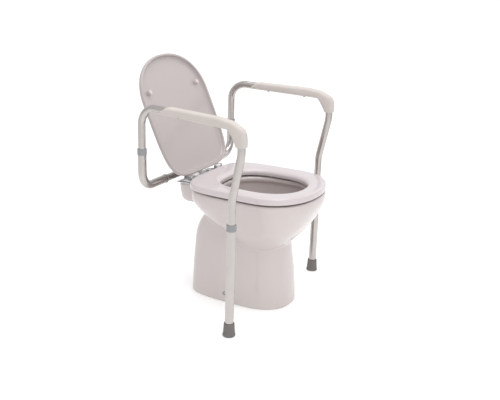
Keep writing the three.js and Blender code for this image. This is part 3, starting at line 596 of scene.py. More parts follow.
class PanShape:
    """Outlines of the pan at each height, in metres."""

    def __init__(self, sizes):
        self.sizes = sizes
        self.rim = PAN_HIGH.z
        self.front = PAN_LOW.y
        self.seat_rear = SEAT_HIGH.y
        self.ledge_rear = PAN_HIGH.y
        self.foot_front = self.front + sizes.foot_front
        self.foot_rear = self.ledge_rear - sizes.foot_rear

    def bowl(self, depth, narrower, front, rear, power=2.4, front_power=2.3):
        """A bowl level: how deep, how much narrower than the rim, and its two ends in mm."""
        half = self.sizes.bowl_half - narrower * MM
        start = self.front + front * MM
        end = self.seat_rear + rear * MM
        egg = Egg(half, start, end, start + 0.85 * half, front_power, power)
        return (self.rim - depth * MM, egg)

    def pedestal(self, share, wider, front, rear):
        half = self.sizes.foot_half + wider * MM
        start, end = self.foot_front + front * MM, self.foot_rear + rear * MM
        height = self.rim - self.sizes.ledge_depth + 10 * MM
        return (share * height, Egg(half, start, end, self.foot_front + 150 * MM, 2.4, 4))

    def bowl_outside(self):
        rows = (
            (187, 92, 114, -200, 2.4), (184, 86, 108, -192, 2.4), (167, 70, 90, -158, 2.4),
            (139, 48, 65, -98, 2.4), (104, 26, 38, -39, 2.6), (66, 10, 16, 2, 3),
            (30, 1, 1.5, 5, 4), (4, 0.2, 0.4, 5, 4), (0, 1.2, 1.4, 4, 4),
        )
        return [self.bowl(*row) for row in rows]

    def pedestal_outside(self):
        rows = (
            (0, 0, 0.2, 0), (0.02, 0, 0.2, 0), (0.18, -4, 4, -1), (0.34, -8, 9, -2),
            (0.62, -15, 22, -8),
            (0.74, -17, 28, -20), (0.85, -14, 45, -42), (1, -8, 70, -56),
        )
        return [self.pedestal(*row) for row in rows]

    def ledge_outside(self):
        rows = ((self.sizes.ledge_depth / MM, 14), (57, 8), (43, 4), (4, 0), (0, 1.5))
        made = []
        for depth, inset in rows:
            half = self.sizes.ledge_half - inset * MM
            front = self.ledge_rear - 190 * MM
            rear = self.ledge_rear - inset * MM
            egg = Egg(half, front, rear, self.ledge_rear - 100 * MM, 4, 6)
            made.append((self.rim - depth * MM, egg))
        return made

    def bowl_inside(self, growth=0.0):
        rows = (
            (232, 148, 195, -143), (222, 138, 180, -133), (186, 110, 130, -103), (139, 66, 83, -85),
            (95, 40, 52, -77), (60, 40, 41, -72), (30, 40, 40, -71), (22, 42, 42, -72),
            (15, 56, 57, -80), (10, 58, 58, -81), (-4, 58, 58, -81),
        )
        made = []
        for depth, narrower, front, rear in rows:
            deeper = growth if depth > 200 else 0
            made.append(self.bowl(depth + deeper, narrower - growth, front - growth, rear + growth))
        return made

    def pedestal_inside(self):
        wall = self.sizes.wall / MM
        rows = ((-0.02, 0, 0, 0), (0.34, -8, 9, -2), (0.62, -15, 22, -8), (0.74, -17, 28, -20),
                (0.85, -14, 45, -42))
        return [self.pedestal(s, w - wall, f + wall, r - wall) for s, w, f, r in rows]


class TOILET_OT_pan(bpy.types.Operator):
    """Cast the china pan: bowl, pedestal and rear ledge with their hollows and holes"""

    bl_idname = "toilet.pan"
    bl_label = "Pan"

    def execute(self, context):
        sizes = context.scene.toilet_pan
        shape = PanShape(sizes)
        body = lofted("china_pan", shape.bowl_outside())
        pedestal = lofted("pedestal", shape.pedestal_outside())
        ledge = lofted("ledge", shape.ledge_outside())
        activate(body, pedestal, ledge)
        bpy.ops.object.join()
        self.skin(body, sizes)
        hollow = lofted("pedestal_hollow", shape.pedestal_inside())
        cut(hollow, lofted("bowl_shell", shape.bowl_inside(sizes.wall / MM)))
        cut(body, hollow, lofted("bowl_hollow", shape.bowl_inside()))
        self.skin(body, sizes)
        self.soften(body, sizes)
        cut(body, *self.pockets(shape), *self.holes(shape))
        settle(body, "pan", "china", ["pan"], 50)
        return {"FINISHED"}

    def pockets(self, shape):
        """Room for the nuts under the ledge."""
        bolt = middle("left_hinge_bolt")
        half, roof = 16 * MM, shape.rim - 20 * MM
        for side, _ in HANDS:
            x = side * bolt.x
            low = (x - half, bolt.y - half, roof - 70 * MM)
            yield block("pocket", low, (x + half, bolt.y + half, roof))

    def skin(self, body, sizes):
        """Draws one even skin over the joined shapes."""
        activate(body)
        body.data.remesh_voxel_size = sizes.grain
        body.data.use_remesh_fix_poles = True
        bpy.ops.object.voxel_remesh()

    def soften(self, body, sizes):
        """Rounds the corners as a thick glaze does."""
        activate(body)
        step = body.modifiers.new("soft", "SMOOTH")
        step.factor = 0.5
        step.iterations = sizes.softness
        bpy.ops.object.modifier_apply(modifier=step.name)

    def holes(self, shape):
        bolt, screw = middle("left_hinge_bolt"), middle("left_floor_screw")
        face = shape.sizes.foot_half - 5.5 * MM
        for side, _ in HANDS:
            top = Vector((side * bolt.x, bolt.y, shape.rim - 30 * MM))
            yield rod("bolt_hole", 6 * MM, 0, 33 * MM, top, (0, 0, 1))
            place = Vector((side * face, screw.y, screw.z))
            sunk = [(0, -30 * MM), (4 * MM, -30 * MM), (4 * MM, 0), (7 * MM, 0), (7 * MM, 9 * MM),
                    (0, 9 * MM)]
            yield turned("screw_hole", sunk, place, (side, 0, 0), radius=0)


class TOILET_OT_floor_fixings(bpy.types.Operator):
    """Finish the brackets in the pedestal's foot and turn the side screws"""

    bl_idname = "toilet.floor_fixings"
    bl_label = "Floor Fixings"

    def execute(self, context):
        for side, hand in HANDS:
            refinish(hand + "_floor_bracket", "nylon")
            node = hand + "_floor_screw"
            low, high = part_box(node)
            screw = middle(node)
            head = (high.x if side > 0 else -low.x) - 3.4 * MM
            shank = low.x if side > 0 else -high.x
            base = Vector((side * head, screw.y, screw.z))
            profile = [(0, shank - head), (3 * MM, shank - head), (3 * MM, 0), (5.5 * MM, 0),
                       (5.5 * MM, 1.6 * MM), (4 * MM, 3 * MM), (0, 3.4 * MM)]
            made = turned(hand + "_side_screw", profile, base, (side, 0, 0), sides=32)
            slot = block("slot", base + Vector((1.8 * side * MM, -6 * MM, -0.6 * MM)),
                         base + Vector((4 * side * MM, 6 * MM, 0.6 * MM)))
            settle(cut(made, slot), "pan", "steel", [node])
        return {"FINISHED"}


# ---- Seat and lid ----


def seat_rings(sizes):
    """Round the seat's section: up the outside, over the top, down the hole and back below."""
    outer = seat_outline()
    low, high = SEAT_LOW.z, SEAT_HIGH.z
    hole = Egg(
        sizes.hole_half,
        SEAT_LOW.y + sizes.hole_front,
        SEAT_HIGH.y - sizes.hole_rear,
        SEAT_LOW.y + sizes.hole_front + 132 * MM,
        2.3,
        3,
    )
    edge = soften([(6, 0), (3, 0), (0.4, 1), (0, 4), (0, 15), (0.6, 19), (3.5, 22.2), (9, 23.2)], 3)
    rings = [outer.ring(low + p[1] * MM, p[0] * MM) for p in edge]
    lip = soften([(-22, 23.2), (-15, 22.6), (-8, 20.6), (-2.5, 16), (0, 11), (0, 3), (-1.5, 0),
                  (-5, 0)], 3)
    inner = [hole.ring(low + p[1] * MM, p[0] * MM) for p in lip]
    for k in range(1, 8):
        t = k / 8
        z = high - sizes.crown * (2 * t - 1) ** 2
        rings.append([a.lerp(b, t).xy.to_3d() + Vector((0, 0, z))
                      for a, b in zip(rings[len(edge) - 1], inner[0])])
    return [*rings, *inner]


def swung(piece, angle):
    """Turns a piece about the hinge axis."""
    turn = Matrix.Translation(HINGE) @ Matrix.Rotation(angle, 4, "X") @ Matrix.Translation(-HINGE)
    piece.data.transform(turn)
    return piece


class TOILET_OT_seat(bpy.types.Operator):
    """Mould the seat ring with its hinge arms and buffers"""

    bl_idname = "toilet.seat"
    bl_label = "Seat"

    def execute(self, context):
        ring = ringed("moulded_seat", seat_rings(context.scene.toilet_seat), closed=True)
        pockets = []
        for _, hand in HANDS:
            low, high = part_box(hand + "_seat_arm")
            pockets.append(block("pocket", (low.x - LIFT, low.y - LIFT, low.z + 0.1 * MM),
                                 (high.x + LIFT, low.y + 15 * MM, low.z + 9.8 * MM)))
        settle(cut(ring, *pockets), "seat", "seat", ["seat_ring"], 40)
        for _, hand in HANDS:
            low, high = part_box(hand + "_seat_arm")
            arm = block("seat_arm", low, (high.x, HINGE.y, low.z + 9 * MM), 0.8 * MM)
            eye = hinge_eye("seat_eye", low.x, high.x, HINGE.z)
            cut(arm, eye, operation="UNION")
            cut(arm, pin_bore(low.x, high.x))
            arm.name = arm.data.name = hand + "_seat_hinge_arm"
            settle(arm, "seat", "seat", [hand + "_seat_arm"])
        for i in range(1, 5):
            node = f"seat_buffer_{i}"
            settle(self.buffer(node), "seat", "buffer", [node])
        return {"FINISHED"}

    def buffer(self, node):
        low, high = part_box(node)
        base = Vector((middle(node).x, middle(node).y, low.z))
        pad = high.z - low.z - 6 * MM
        profile = [(0, 0), (8.4 * MM, 0), (10 * MM, 1.6 * MM), (10 * MM, pad), (3 * MM, pad),
                   (3 * MM, pad + 6 * MM), (0, pad + 6 * MM)]
        return turned(f"soft_{node}", profile, base, (0, 0, 1))


def hinge_eye(name, low_x, high_x, z):
    wide = high_x - low_x
    base = Vector((low_x, HINGE.y, z))
    return rod(name, EYE_RADIUS, 0, wide, base, (1, 0, 0), rounding=0.8 * MM)


def pin_bore(low_x, high_x):
    reach = 3 * MM
    base = Vector((low_x - reach, HINGE.y, HINGE.z))
    long = high_x - low_x + 2 * reach
    return rod("pin_bore", PIN_BORE, 0, long, base, (1, 0, 0), 32)


class TOILET_OT_lid(bpy.types.Operator):
    """Mould the lid's shell with its rim, hinge arms and buffers, and open it"""

    bl_idname = "toilet.lid"
    bl_label = "Lid"

    def execute(self, context):
        sizes = context.scene.toilet_seat
        shell = ringed("moulded_lid", self.rings(sizes))
        base = SEAT_HIGH.z + sizes.lid_rise
        bars = []
        for side, hand in HANDS:
            low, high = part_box(hand + "_lid_arm")
            rear = SEAT_HIGH.y + sizes.lid_overhang
            bars.append(block("pocket", (low.x - LIFT, rear - 6.4 * MM, base + 1.6 * MM),
                              (high.x + LIFT, rear + 2 * MM, base + 9.4 * MM)))
        settle(swung(cut(shell, *bars), -LID_OPEN), "lid", "lid", ["lid"], 40)
        for side, hand in HANDS:
            settle(self.arm(hand, base, sizes), "lid", "lid", [hand + "_lid_arm"])
            settle(self.buffer(side, hand, base, sizes), "lid", "buffer", [hand + "_lid_buffer"])
        return {"FINISHED"}

    def rings(self, sizes):
        """From the middle of the inner panel, over the rim and back to the middle outside."""
        seat = seat_outline()
        over = sizes.lid_overhang
        egg = Egg(seat.half + over, seat.front - over, seat.rear + over, seat.mid, 2.2, 5)
        base = SEAT_HIGH.z + sizes.lid_rise
        rim, tall = sizes.lid_rim / MM, sizes.lid_height / MM
        panel = tall - sizes.lid_panel / MM
        top = tall - 1.2
        rings = [egg.ring(base + panel * MM, (rim + 12) * MM, share=s)
                 for s in (0.02, 0.25, 0.5, 0.75, 0.92)]
        edge = soften([
            (rim + 14, panel), (rim + 5, panel - 0.8), (rim + 1.4, panel - 5), (rim, 2.5),
            (rim - 1.6, 0), (1.6, 0), (0, 2.5), (0, 8.5), (1.6, 12.5), (6.5, 15.6), (20, top),
            (34, tall - 0.6),
        ], 3.5, 4)
        rings += [egg.ring(base + p[1] * MM, p[0] * MM) for p in edge]
        for share in (0.9, 0.7, 0.45, 0.2, 0.02):
            rise = (tall - 0.6 * share ** 2) * MM
            rings.append(egg.ring(base + rise, 34 * MM, share=share))
        return rings

    def arm(self, hand, base, sizes):
        low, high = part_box(hand + "_lid_arm")
        rear = SEAT_HIGH.y + sizes.lid_overhang
        tongue = block("tongue", (low.x, rear - 6 * MM, base + 2 * MM),
                       (high.x, HINGE.y, base + 9 * MM), 0.8 * MM)
        web = block("web", (low.x, rear + LIFT, HINGE.z), (high.x, HINGE.y, base + 8.6 * MM))
        eye = hinge_eye("lid_eye", low.x, high.x, HINGE.z)
        cut(tongue, web, eye, operation="UNION")
        cut(tongue, pin_bore(low.x, high.x))
        tongue.name = tongue.data.name = hand + "_lid_hinge_arm"
        return swung(tongue, -LID_OPEN)

    def buffer(self, side, hand, base, sizes):
        node = hand + "_lid_buffer"
        closed = middle(node) - HINGE
        closed.rotate(Matrix.Rotation(LID_OPEN, 3, "X"))
        low = SEAT_HIGH.z + LIFT
        high = base + sizes.lid_height - sizes.lid_panel - LIFT
        pad = high - low
        place = Vector((side * abs(middle(node).x), HINGE.y + closed.y, low))
        profile = [(0, 0), (6.6 * MM, 0), (8 * MM, 1.4 * MM), (8 * MM, pad), (3 * MM, pad),
                   (3 * MM, pad + 2.4 * MM), (0, pad + 2.4 * MM)]
        return swung(turned(hand + "_lid_stop", profile, place, (0, 0, 1)), -LID_OPEN)


# ---- Hinges and mounting bracket ----


class TOILET_OT_hinges(bpy.types.Operator):
    """Make the hinge posts, pins, bolts, washers and wing nuts"""

    bl_idname = "toilet.hinges"
    bl_label = "Hinges"

    def execute(self, context):
        makers = (
            ("hinge_post", self.post, "zinc"),
            ("hinge_pin", self.pin, "steel"),
            ("hinge_bolt", self.bolt, "steel"),
            ("washer", self.washer, "zinc"),
            ("wing_nut", self.wing_nut, "nylon"),
        )
        for _, hand in HANDS:
            for part, make, slot in makers:
                settle(make(hand), "pan", slot, [f"{hand}_{part}"])
        return {"FINISHED"}

    def post(self, hand):
        low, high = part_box(hand + "_hinge_post")
        bolt = middle(hand + "_hinge_bolt")
        base = block("post", low, (high.x, high.y, low.z + 6 * MM), 1.6 * MM, 4)
        x, half = (low.x + high.x) / 2, 6 * MM
        web = block("web", (x - half, HINGE.y - EYE_RADIUS, low.z + 3 * MM),
                    (x + half, HINGE.y + EYE_RADIUS, HINGE.z), 0.5 * MM)
        eye = hinge_eye("eye", x - half, x + half, HINGE.z)
        cut(base, web, eye, operation="UNION")
        under = Vector((bolt.x, bolt.y, low.z - 3 * MM))
        cut(base, pin_bore(x - half, x + half),
            rod("hole", BOLT_BORE, 0, 12 * MM, under, (0, 0, 1)))
        base.name = base.data.name = hand + "_cast_post"
        return base

    def pin(self, hand):
        low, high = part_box(hand + "_hinge_pin")
        base = Vector((low.x, HINGE.y, HINGE.z))
        wide = high.x - low.x
        profile = [(0, 0), (4 * MM, 0), (5 * MM, 1 * MM), (5 * MM, 2 * MM), (3 * MM, 2 * MM),
                   (3 * MM, wide - 2 * MM), (5 * MM, wide - 2 * MM), (5 * MM, wide - 1 * MM),
                   (4 * MM, wide), (0, wide)]
        return turned(hand + "_pivot_pin", profile, base, (1, 0, 0), sides=32, radius=0.3 * MM)

    def bolt(self, hand):
        low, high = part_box(hand + "_hinge_bolt")
        at = middle(hand + "_hinge_bolt")
        base = Vector((at.x, at.y, high.z - 5 * MM))
        long = base.z - low.z
        thread = [(4 * MM if k % 2 else 3.6 * MM, (1 - long / MM) * MM + k * 0.6 * MM)
                  for k in range(1, 56)]
        profile = [(0, -long), (3 * MM, -long), *thread, (3.9 * MM, 0), (7 * MM, 0),
                   (7 * MM, 2 * MM), (5 * MM, 4.4 * MM), (0, 5 * MM)]
        made = turned(hand + "_coach_bolt", profile, base, (0, 0, 1), sides=32, radius=0.12 * MM)
        slot = block("slot", base + Vector((-0.9, -8, 3)) * MM, base + Vector((0.9, 8, 6)) * MM)
        return cut(made, slot)

    def washer(self, hand):
        low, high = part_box(hand + "_washer")
        at = middle(hand + "_washer")
        thick = high.z - low.z
        profile = [(12 * MM, 0), (12 * MM, thick), (BOLT_BORE, thick), (BOLT_BORE, 0)]
        base = Vector((at.x, at.y, low.z))
        return turned(hand + "_flat_washer", profile, base, (0, 0, 1), closed=True)

    def wing_nut(self, hand):
        low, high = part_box(hand + "_wing_nut")
        at = middle(hand + "_wing_nut")
        base = Vector((at.x, at.y, high.z))
        hub = [(0, -9 * MM), (6.2 * MM, -9 * MM), (7 * MM, 0), (0, 0)]
        nut = turned("nut", hub, base, (0, 0, 1))
        wings = block("wings", (low.x, at.y - 1.5 * MM, low.z),
                      (high.x, at.y + 1.5 * MM, high.z - 2 * MM), 1.2 * MM)
        cut(nut, wings, operation="UNION")
        cut(nut, rod("bore", BOLT_BORE, -16 * MM, 2 * MM, base, (0, 0, 1)))
        nut.name = nut.data.name = hand + "_moulded_nut"
        return nut


class TOILET_OT_mounting_bracket(bpy.types.Operator):
    """Fold the plate and its flange and weld the cross bar behind it"""

    bl_idname = "toilet.mounting_bracket"
    bl_label = "Mounting Bracket"

    def execute(self, context):
        sizes = context.scene.toilet_rails
        low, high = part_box("mounting_bracket")
        thick = PLATE_THICK
        half = BOLT_X + PLATE_MARGIN
        rear = BAR.y - sizes.inner_radius + 0.4 * MM
        plate = block("bracket_plate", (-half, low.y, low.z), (half, rear, low.z + thick), 0.9 * MM)
        flange = block("flange", (-FLANGE_HALF, rear - thick, low.z),
                       (FLANGE_HALF, rear, BAR.z + 6 * MM), 0.9 * MM)
        cut(plate, flange, operation="UNION")
        bolt = middle("left_hinge_bolt")
        for side, _ in HANDS:
            x, wide, reach = side * bolt.x, 8 * MM, BOLT_BORE
            slot = block("slot", (x - wide, bolt.y - reach, low.z - thick),
                         (x + wide, bolt.y + reach, low.z + 2 * thick))
            cut(plate, slot)
        settle(plate, "pan", "zinc", ["mounting_bracket"])
        ends = (Vector((x, BAR.y, BAR.z)) for x in (low.x, high.x))
        bar = straight_tube("cross_bar", *ends, sizes.inner_radius, sizes.inner_wall)
        holes = []
        for side, hand in HANDS:
            start = middle(hand + "_width_button").x
            for k in range(3):
                at = Vector((start + side * k * sizes.hole_pitch, BAR.y, BAR.z))
                holes.append(button_hole(at, (0, 1, 0), sizes))
        settle(cut(bar, *holes), "pan", "tube", ["mounting_bracket"])
        settle(self.weld(rear), "pan", "zinc", ["mounting_bracket"])
        return {"FINISHED"}

    def weld(self, rear):
        """A rippled bead where the flange meets the bar."""
        rings = []
        for k in range(121):
            x = (-58 + k * 116 / 120) * MM
            bead = (1.5 + 0.25 * math.sin(k * 1.3)) * MM
            place = Vector((x, rear + 0.2 * MM, BAR.z + 5.2 * MM))
            rings.append(circle_at(place, (1, 0, 0), bead, 12))
        return ringed("weld_bead", rings)


# ---- Tubes ----


class Route:
    """A tube's axis in an upright plane: straight runs joined by arcs, with its tangents."""

    def __init__(self, corners, step=math.radians(4)):
        self.points = [Vector(corners[0][:2])]
        self.tangents = [(Vector(corners[1][:2]) - Vector(corners[0][:2])).normalized()]
        for before, corner, after in zip(corners, corners[1:], corners[2:]):
            self.bend(Vector(before[:2]), corner, Vector(after[:2]), step)
        self.points.append(Vector(corners[-1][:2]))
        self.tangents.append(self.tangents[-1])

    def bend(self, before, corner, after, step):
        at, radius = Vector(corner[:2]), corner[2]
        inward, outward = (at - before).normalized(), (after - at).normalized()
        turn = inward.angle(outward)
        side = (outward - inward * outward.dot(inward)).normalized()
        start = at - inward * radius * math.tan(turn / 2)
        steps = max(3, math.ceil(turn / step))
        for k in range(steps + 1):
            a = turn * k / steps
            across = side * radius * (1 - math.cos(a))
            self.points.append(start + inward * radius * math.sin(a) + across)
            self.tangents.append(inward * math.cos(a) + side * math.sin(a))


class Upright:
    """The upright plane that a rail or an elbow lies in: an origin on the floor and a heading."""

    def __init__(self, origin, heading):
        self.origin = Vector((origin.x, origin.y, 0))
        self.heading = Vector((heading.x, heading.y, 0)).normalized()
        self.lateral = Vector((-self.heading.y, self.heading.x, 0))

    def place(self, point):
        return self.origin + self.heading * point[0] + Vector((0, 0, point[1]))

    def direction(self, tangent):
        return self.heading * tangent[0] + Vector((0, 0, tangent[1]))

    def ring(self, point, tangent, radius, sides=48):
        centre = self.place(point)
        up = self.direction((-tangent[1], tangent[0]))
        turns = (math.tau * k / sides for k in range(sides))
        return [centre + radius * (math.cos(t) * self.lateral + math.sin(t) * up) for t in turns]


def bent_tube(name, plane, route, radius, wall):
    pairs = list(zip(route.points, route.tangents))
    outside = [plane.ring(p, t, radius) for p, t in pairs]
    if not wall:
        return ringed(name, outside)
    inside = [plane.ring(p, t, radius - wall) for p, t in reversed(pairs)]
    return ringed(name, [*outside, *inside], closed=True)


def straight_tube(name, start, end, radius, wall):
    axis = end - start
    ends = [(start, radius), (end, radius), (end, radius - wall), (start, radius - wall)]
    return ringed(name, [circle_at(at, axis, r, 48) for at, r in ends], closed=True)


def button_hole(at, direction, sizes):
    radius = sizes.button_radius + 0.4 * MM
    near, far = sizes.inner_radius - 4 * MM, sizes.outer_radius + 2 * MM
    return rod("button_hole", radius, near, far, at, direction, 32)


def rail_plane(hand):
    post, leg = middle(hand + "_rear_collar"), middle(hand + "_front_collar")
    return Upright(post, leg - post)


def leg_reach(hand):
    post, leg = middle(hand + "_rear_collar"), middle(hand + "_front_collar")
    return (leg - post).xy.length


def rail_corners(sizes, hand, start, end):
    top = BAR.z + sizes.arm_rise
    corner = top - sizes.arm_drop
    leg = leg_reach(hand)
    shoulder, knee = corner - sizes.shoulder_drop, corner - sizes.shoulder_drop - sizes.knee_drop
    return [
        (0, start),
        (0, top, sizes.top_bend),
        (sizes.arm_length, corner, sizes.corner_bend),
        (sizes.arm_length + 2 * MM, shoulder, sizes.slant_bend),
        (leg, knee, sizes.slant_bend),
        (leg, end),
    ]


class TOILET_OT_elbows(bpy.types.Operator):
    """Bend the two lower rear tubes and fit their sleeves"""

    bl_idname = "toilet.elbows"
    bl_label = "Elbows"

    def execute(self, context):
        sizes = context.scene.toilet_rails
        for side, hand in HANDS:
            low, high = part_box(hand + "_elbow_tube")
            plane = Upright(Vector((0, BAR.y, 0)), Vector((side, 0, 0)))
            inner = low.x if side > 0 else -high.x
            route = Route([(inner, BAR.z), (POST_X, BAR.z, sizes.elbow_bend), (POST_X, high.z)])
            tube = bent_tube(hand + "_bent_elbow", plane, route, sizes.outer_radius,
                             sizes.outer_radius - sizes.outer_bore)
            forward = rail_plane(hand).heading
            width, rear = middle(hand + "_width_button"), middle(hand + "_rear_button")
            at_width = Vector((width.x, BAR.y, BAR.z))
            at_rear = Vector((side * POST_X, BAR.y, rear.z))
            cut(tube, button_hole(at_width, (0, 1, 0), sizes), button_hole(at_rear, forward, sizes))
            body = hand + "_elbow"
            settle(tube, body, "tube", [hand + "_elbow_tube"])
            settle(sleeve(hand + "_rear_collar", (0, 0, 1), sizes), body, "collar",
                   [hand + "_rear_collar"])
            settle(sleeve(hand + "_end_ring", (-side, 0, 0), sizes), body, "collar",
                   [hand + "_end_ring"])
        return {"FINISHED"}


def sleeve(node, axis, sizes):
    """A grey sleeve with a lip over the tube's end and two shallow grooves."""
    low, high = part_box(node)
    axis = Vector(axis)
    end = middle(node) + axis * half_width(node, max(range(3), key=lambda i: abs(axis[i])))
    across = 0 if abs(axis.z) > 0.5 else 2
    radius, long = (high[across] - low[across]) / 2, 2 * abs(axis.dot(end - middle(node)))
    lip = min(3 * MM, long / 3)
    bore = sizes.outer_radius + 0.4 * MM
    groove = 0.5 * MM
    grooves = []
    if long > 12 * MM:
        for at in (0.68, 0.32):
            for depth, shift in ((0, 1.0), (groove, 0.5), (groove, -0.5), (0, -1.0)):
                grooves.append((radius - depth, -(at * long + shift * MM)))
    profile = [(bore, -long), (radius - 0.5 * MM, -long), (radius, 0.7 * MM - long), *grooves,
               (radius, -0.9 * MM), (radius - 0.9 * MM, 0), (sizes.outer_bore, 0),
               (sizes.outer_bore, -lip), (bore, -lip)]
    return turned(node + "_sleeve", profile, end, axis, closed=True, radius=0.35 * MM)


class TOILET_OT_rails(bpy.types.Operator):
    """Bend the two rails and mould their armrest covers"""

    bl_idname = "toilet.rails"
    bl_label = "Rails and Armrests"

    def execute(self, context):
        sizes = context.scene.toilet_rails
        for side, hand in HANDS:
            plane = rail_plane(hand)
            low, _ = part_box(hand + "_rail_tube")
            start = middle(hand + "_rear_button").z - 2 * sizes.hole_pitch - 8 * MM
            corners = rail_corners(sizes, hand, start, low.z)
            route = Route(corners)
            tube = bent_tube(hand + "_bent_rail", plane, route, sizes.inner_radius,
                             sizes.inner_wall)
            cut(tube, *self.holes(sizes, hand, plane))
            body = hand + "_rail"
            settle(tube, body, "tube", [hand + "_rail_tube"])
            cover = self.cover(hand, plane, corners)
            settle(cover, body, "armrest", [hand + "_armrest"], 60)
            for i in (1, 2):
                node = f"{hand}_armrest_screw_{i}"
                settle(self.screw(node), body, "steel", [node])
        return {"FINISHED"}

    def holes(self, sizes, hand, plane):
        rear, front = middle(hand + "_rear_button"), middle(hand + "_front_button")
        leg = leg_reach(hand)
        for k in range(3):
            fall = k * sizes.hole_pitch
            yield button_hole(plane.place((0, rear.z - fall)), plane.heading, sizes)
            yield button_hole(plane.place((leg, front.z - fall)), -plane.heading, sizes)

    def cover(self, hand, plane, corners):
        """The armrest: a moulded run with a sloping nose, a dip and a boot round the front bend."""
        rings = []
        for point, tangent, travelled in self.stations(corners):
            half, above, below = self.section(travelled)
            rings.append(self.ring(plane, point, tangent, half, above, below))
        cover = ringed(hand + "_arm_pad", rings)
        sizes = bpy.context.scene.toilet_rails
        channel = bent_tube("channel", plane, Route(corners), sizes.inner_radius + LIFT, 0)
        return cut(cover, channel)

    def stations(self, corners):
        """Points along the cover with how far along its run each one is.

        The run is 0 to 1 on the straight arm, 1 to 2 round the front bend and 2 to 3 down the boot.
        """
        sizes = bpy.context.scene.toilet_rails
        rear = Vector(corners[1][:2])
        front = Vector(corners[2][:2])
        along = (front - rear).normalized()
        after = (Vector(corners[3][:2]) - front).normalized()
        turn = along.angle(after)
        reach = sizes.corner_bend * math.tan(turn / 2)
        start, end = rear + along * 79 * MM, front - along * reach
        for k in range(45):
            share = (k / 44) ** 1.15
            yield start.lerp(end, share), along, share
        side = (after - along * after.dot(along)).normalized()
        for k in range(1, 29):
            a = turn * k / 28
            point = end + sizes.corner_bend * (along * math.sin(a) + side * (1 - math.cos(a)))
            yield point, along * math.cos(a) + side * math.sin(a), 1 + k / 28
        bend_end = front + after * reach
        drop = bend_end.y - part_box("left_armrest")[0].z
        for k in range(1, 6):
            yield bend_end + after * drop * k / 5, after, 2 + k / 5

    def section(self, run):
        """Half width, rise above the axis and depth below it, in mm, at a place along the cover."""
        stops = (
            (0, 13.4, -7.6, 9.4), (0.008, 15.6, -6.4, 10.3), (0.05, 16.6, 3, 10.5),
            (0.11, 17, 13.2, 10.5), (0.135, 17, 15.2, 10.5), (0.18, 17, 15.9, 10.5),
            (0.5, 17, 17.6, 10.5), (0.84, 17, 19.4, 10.5), (0.88, 17, 19.2, 10.5),
            (1, 16.8, 15.8, 11.2), (1.23, 16.2, 14.2, 19), (1.34, 15.9, 14.6, 22),
            (1.44, 15.6, 16.6, 23.6), (1.56, 15.4, 20.4, 24.4), (1.68, 15.2, 20.6, 24.6),
            (1.86, 15.1, 18, 23.4), (2, 15.1, 16.9, 21), (2.5, 15.1, 16.4, 18), (3, 15, 16, 15.6),
        )
        for before, after in zip(stops, stops[1:]):
            if run <= after[0]:
                t = (run - before[0]) / (after[0] - before[0])
                t = t * t * (3 - 2 * t)
                return [a + (b - a) * t for a, b in zip(before[1:], after[1:])]
        return stops[-1][1:]

    def ring(self, plane, point, tangent, half, above, below, sides=44):
        centre = plane.place(point)
        up = plane.direction((-tangent[1], tangent[0]))
        made = []
        for k in range(sides):
            c, s = math.cos(math.tau * k / sides), math.sin(math.tau * k / sides)
            power = 2 / (3.2 if s > 0 else 4)
            x = half * math.copysign(abs(c) ** power, c)
            y = (above + below) / 2 * math.copysign(abs(s) ** power, s) + (above - below) / 2
            made.append(centre + plane.lateral * x * MM + up * y * MM)
        return made

    def screw(self, node):
        low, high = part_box(node)
        at = middle(node)
        long = high.z - low.z
        base = Vector((at.x, at.y, low.z))
        profile = [(0, 0), (2.6 * MM, 0.3 * MM), (3.7 * MM, 1.6 * MM), (3.8 * MM, 2.4 * MM),
                   (2 * MM, 2.4 * MM), (2 * MM, long - 1 * MM), (0.3 * MM, long)]
        made = turned(node + "_pan_head", profile, base, (0, 0, 1), sides=32, radius=0.3 * MM)
        for turn in (0, 1):
            reach = Vector((2.2, 0.45, 0)) if turn else Vector((0.45, 2.2, 0))
            low_corner = base - reach * MM - Vector((0, 0, 1 * MM))
            high_corner = base + reach * MM + Vector((0, 0, 1.3 * MM))
            made = cut(made, block("slot", low_corner, high_corner))
        return made


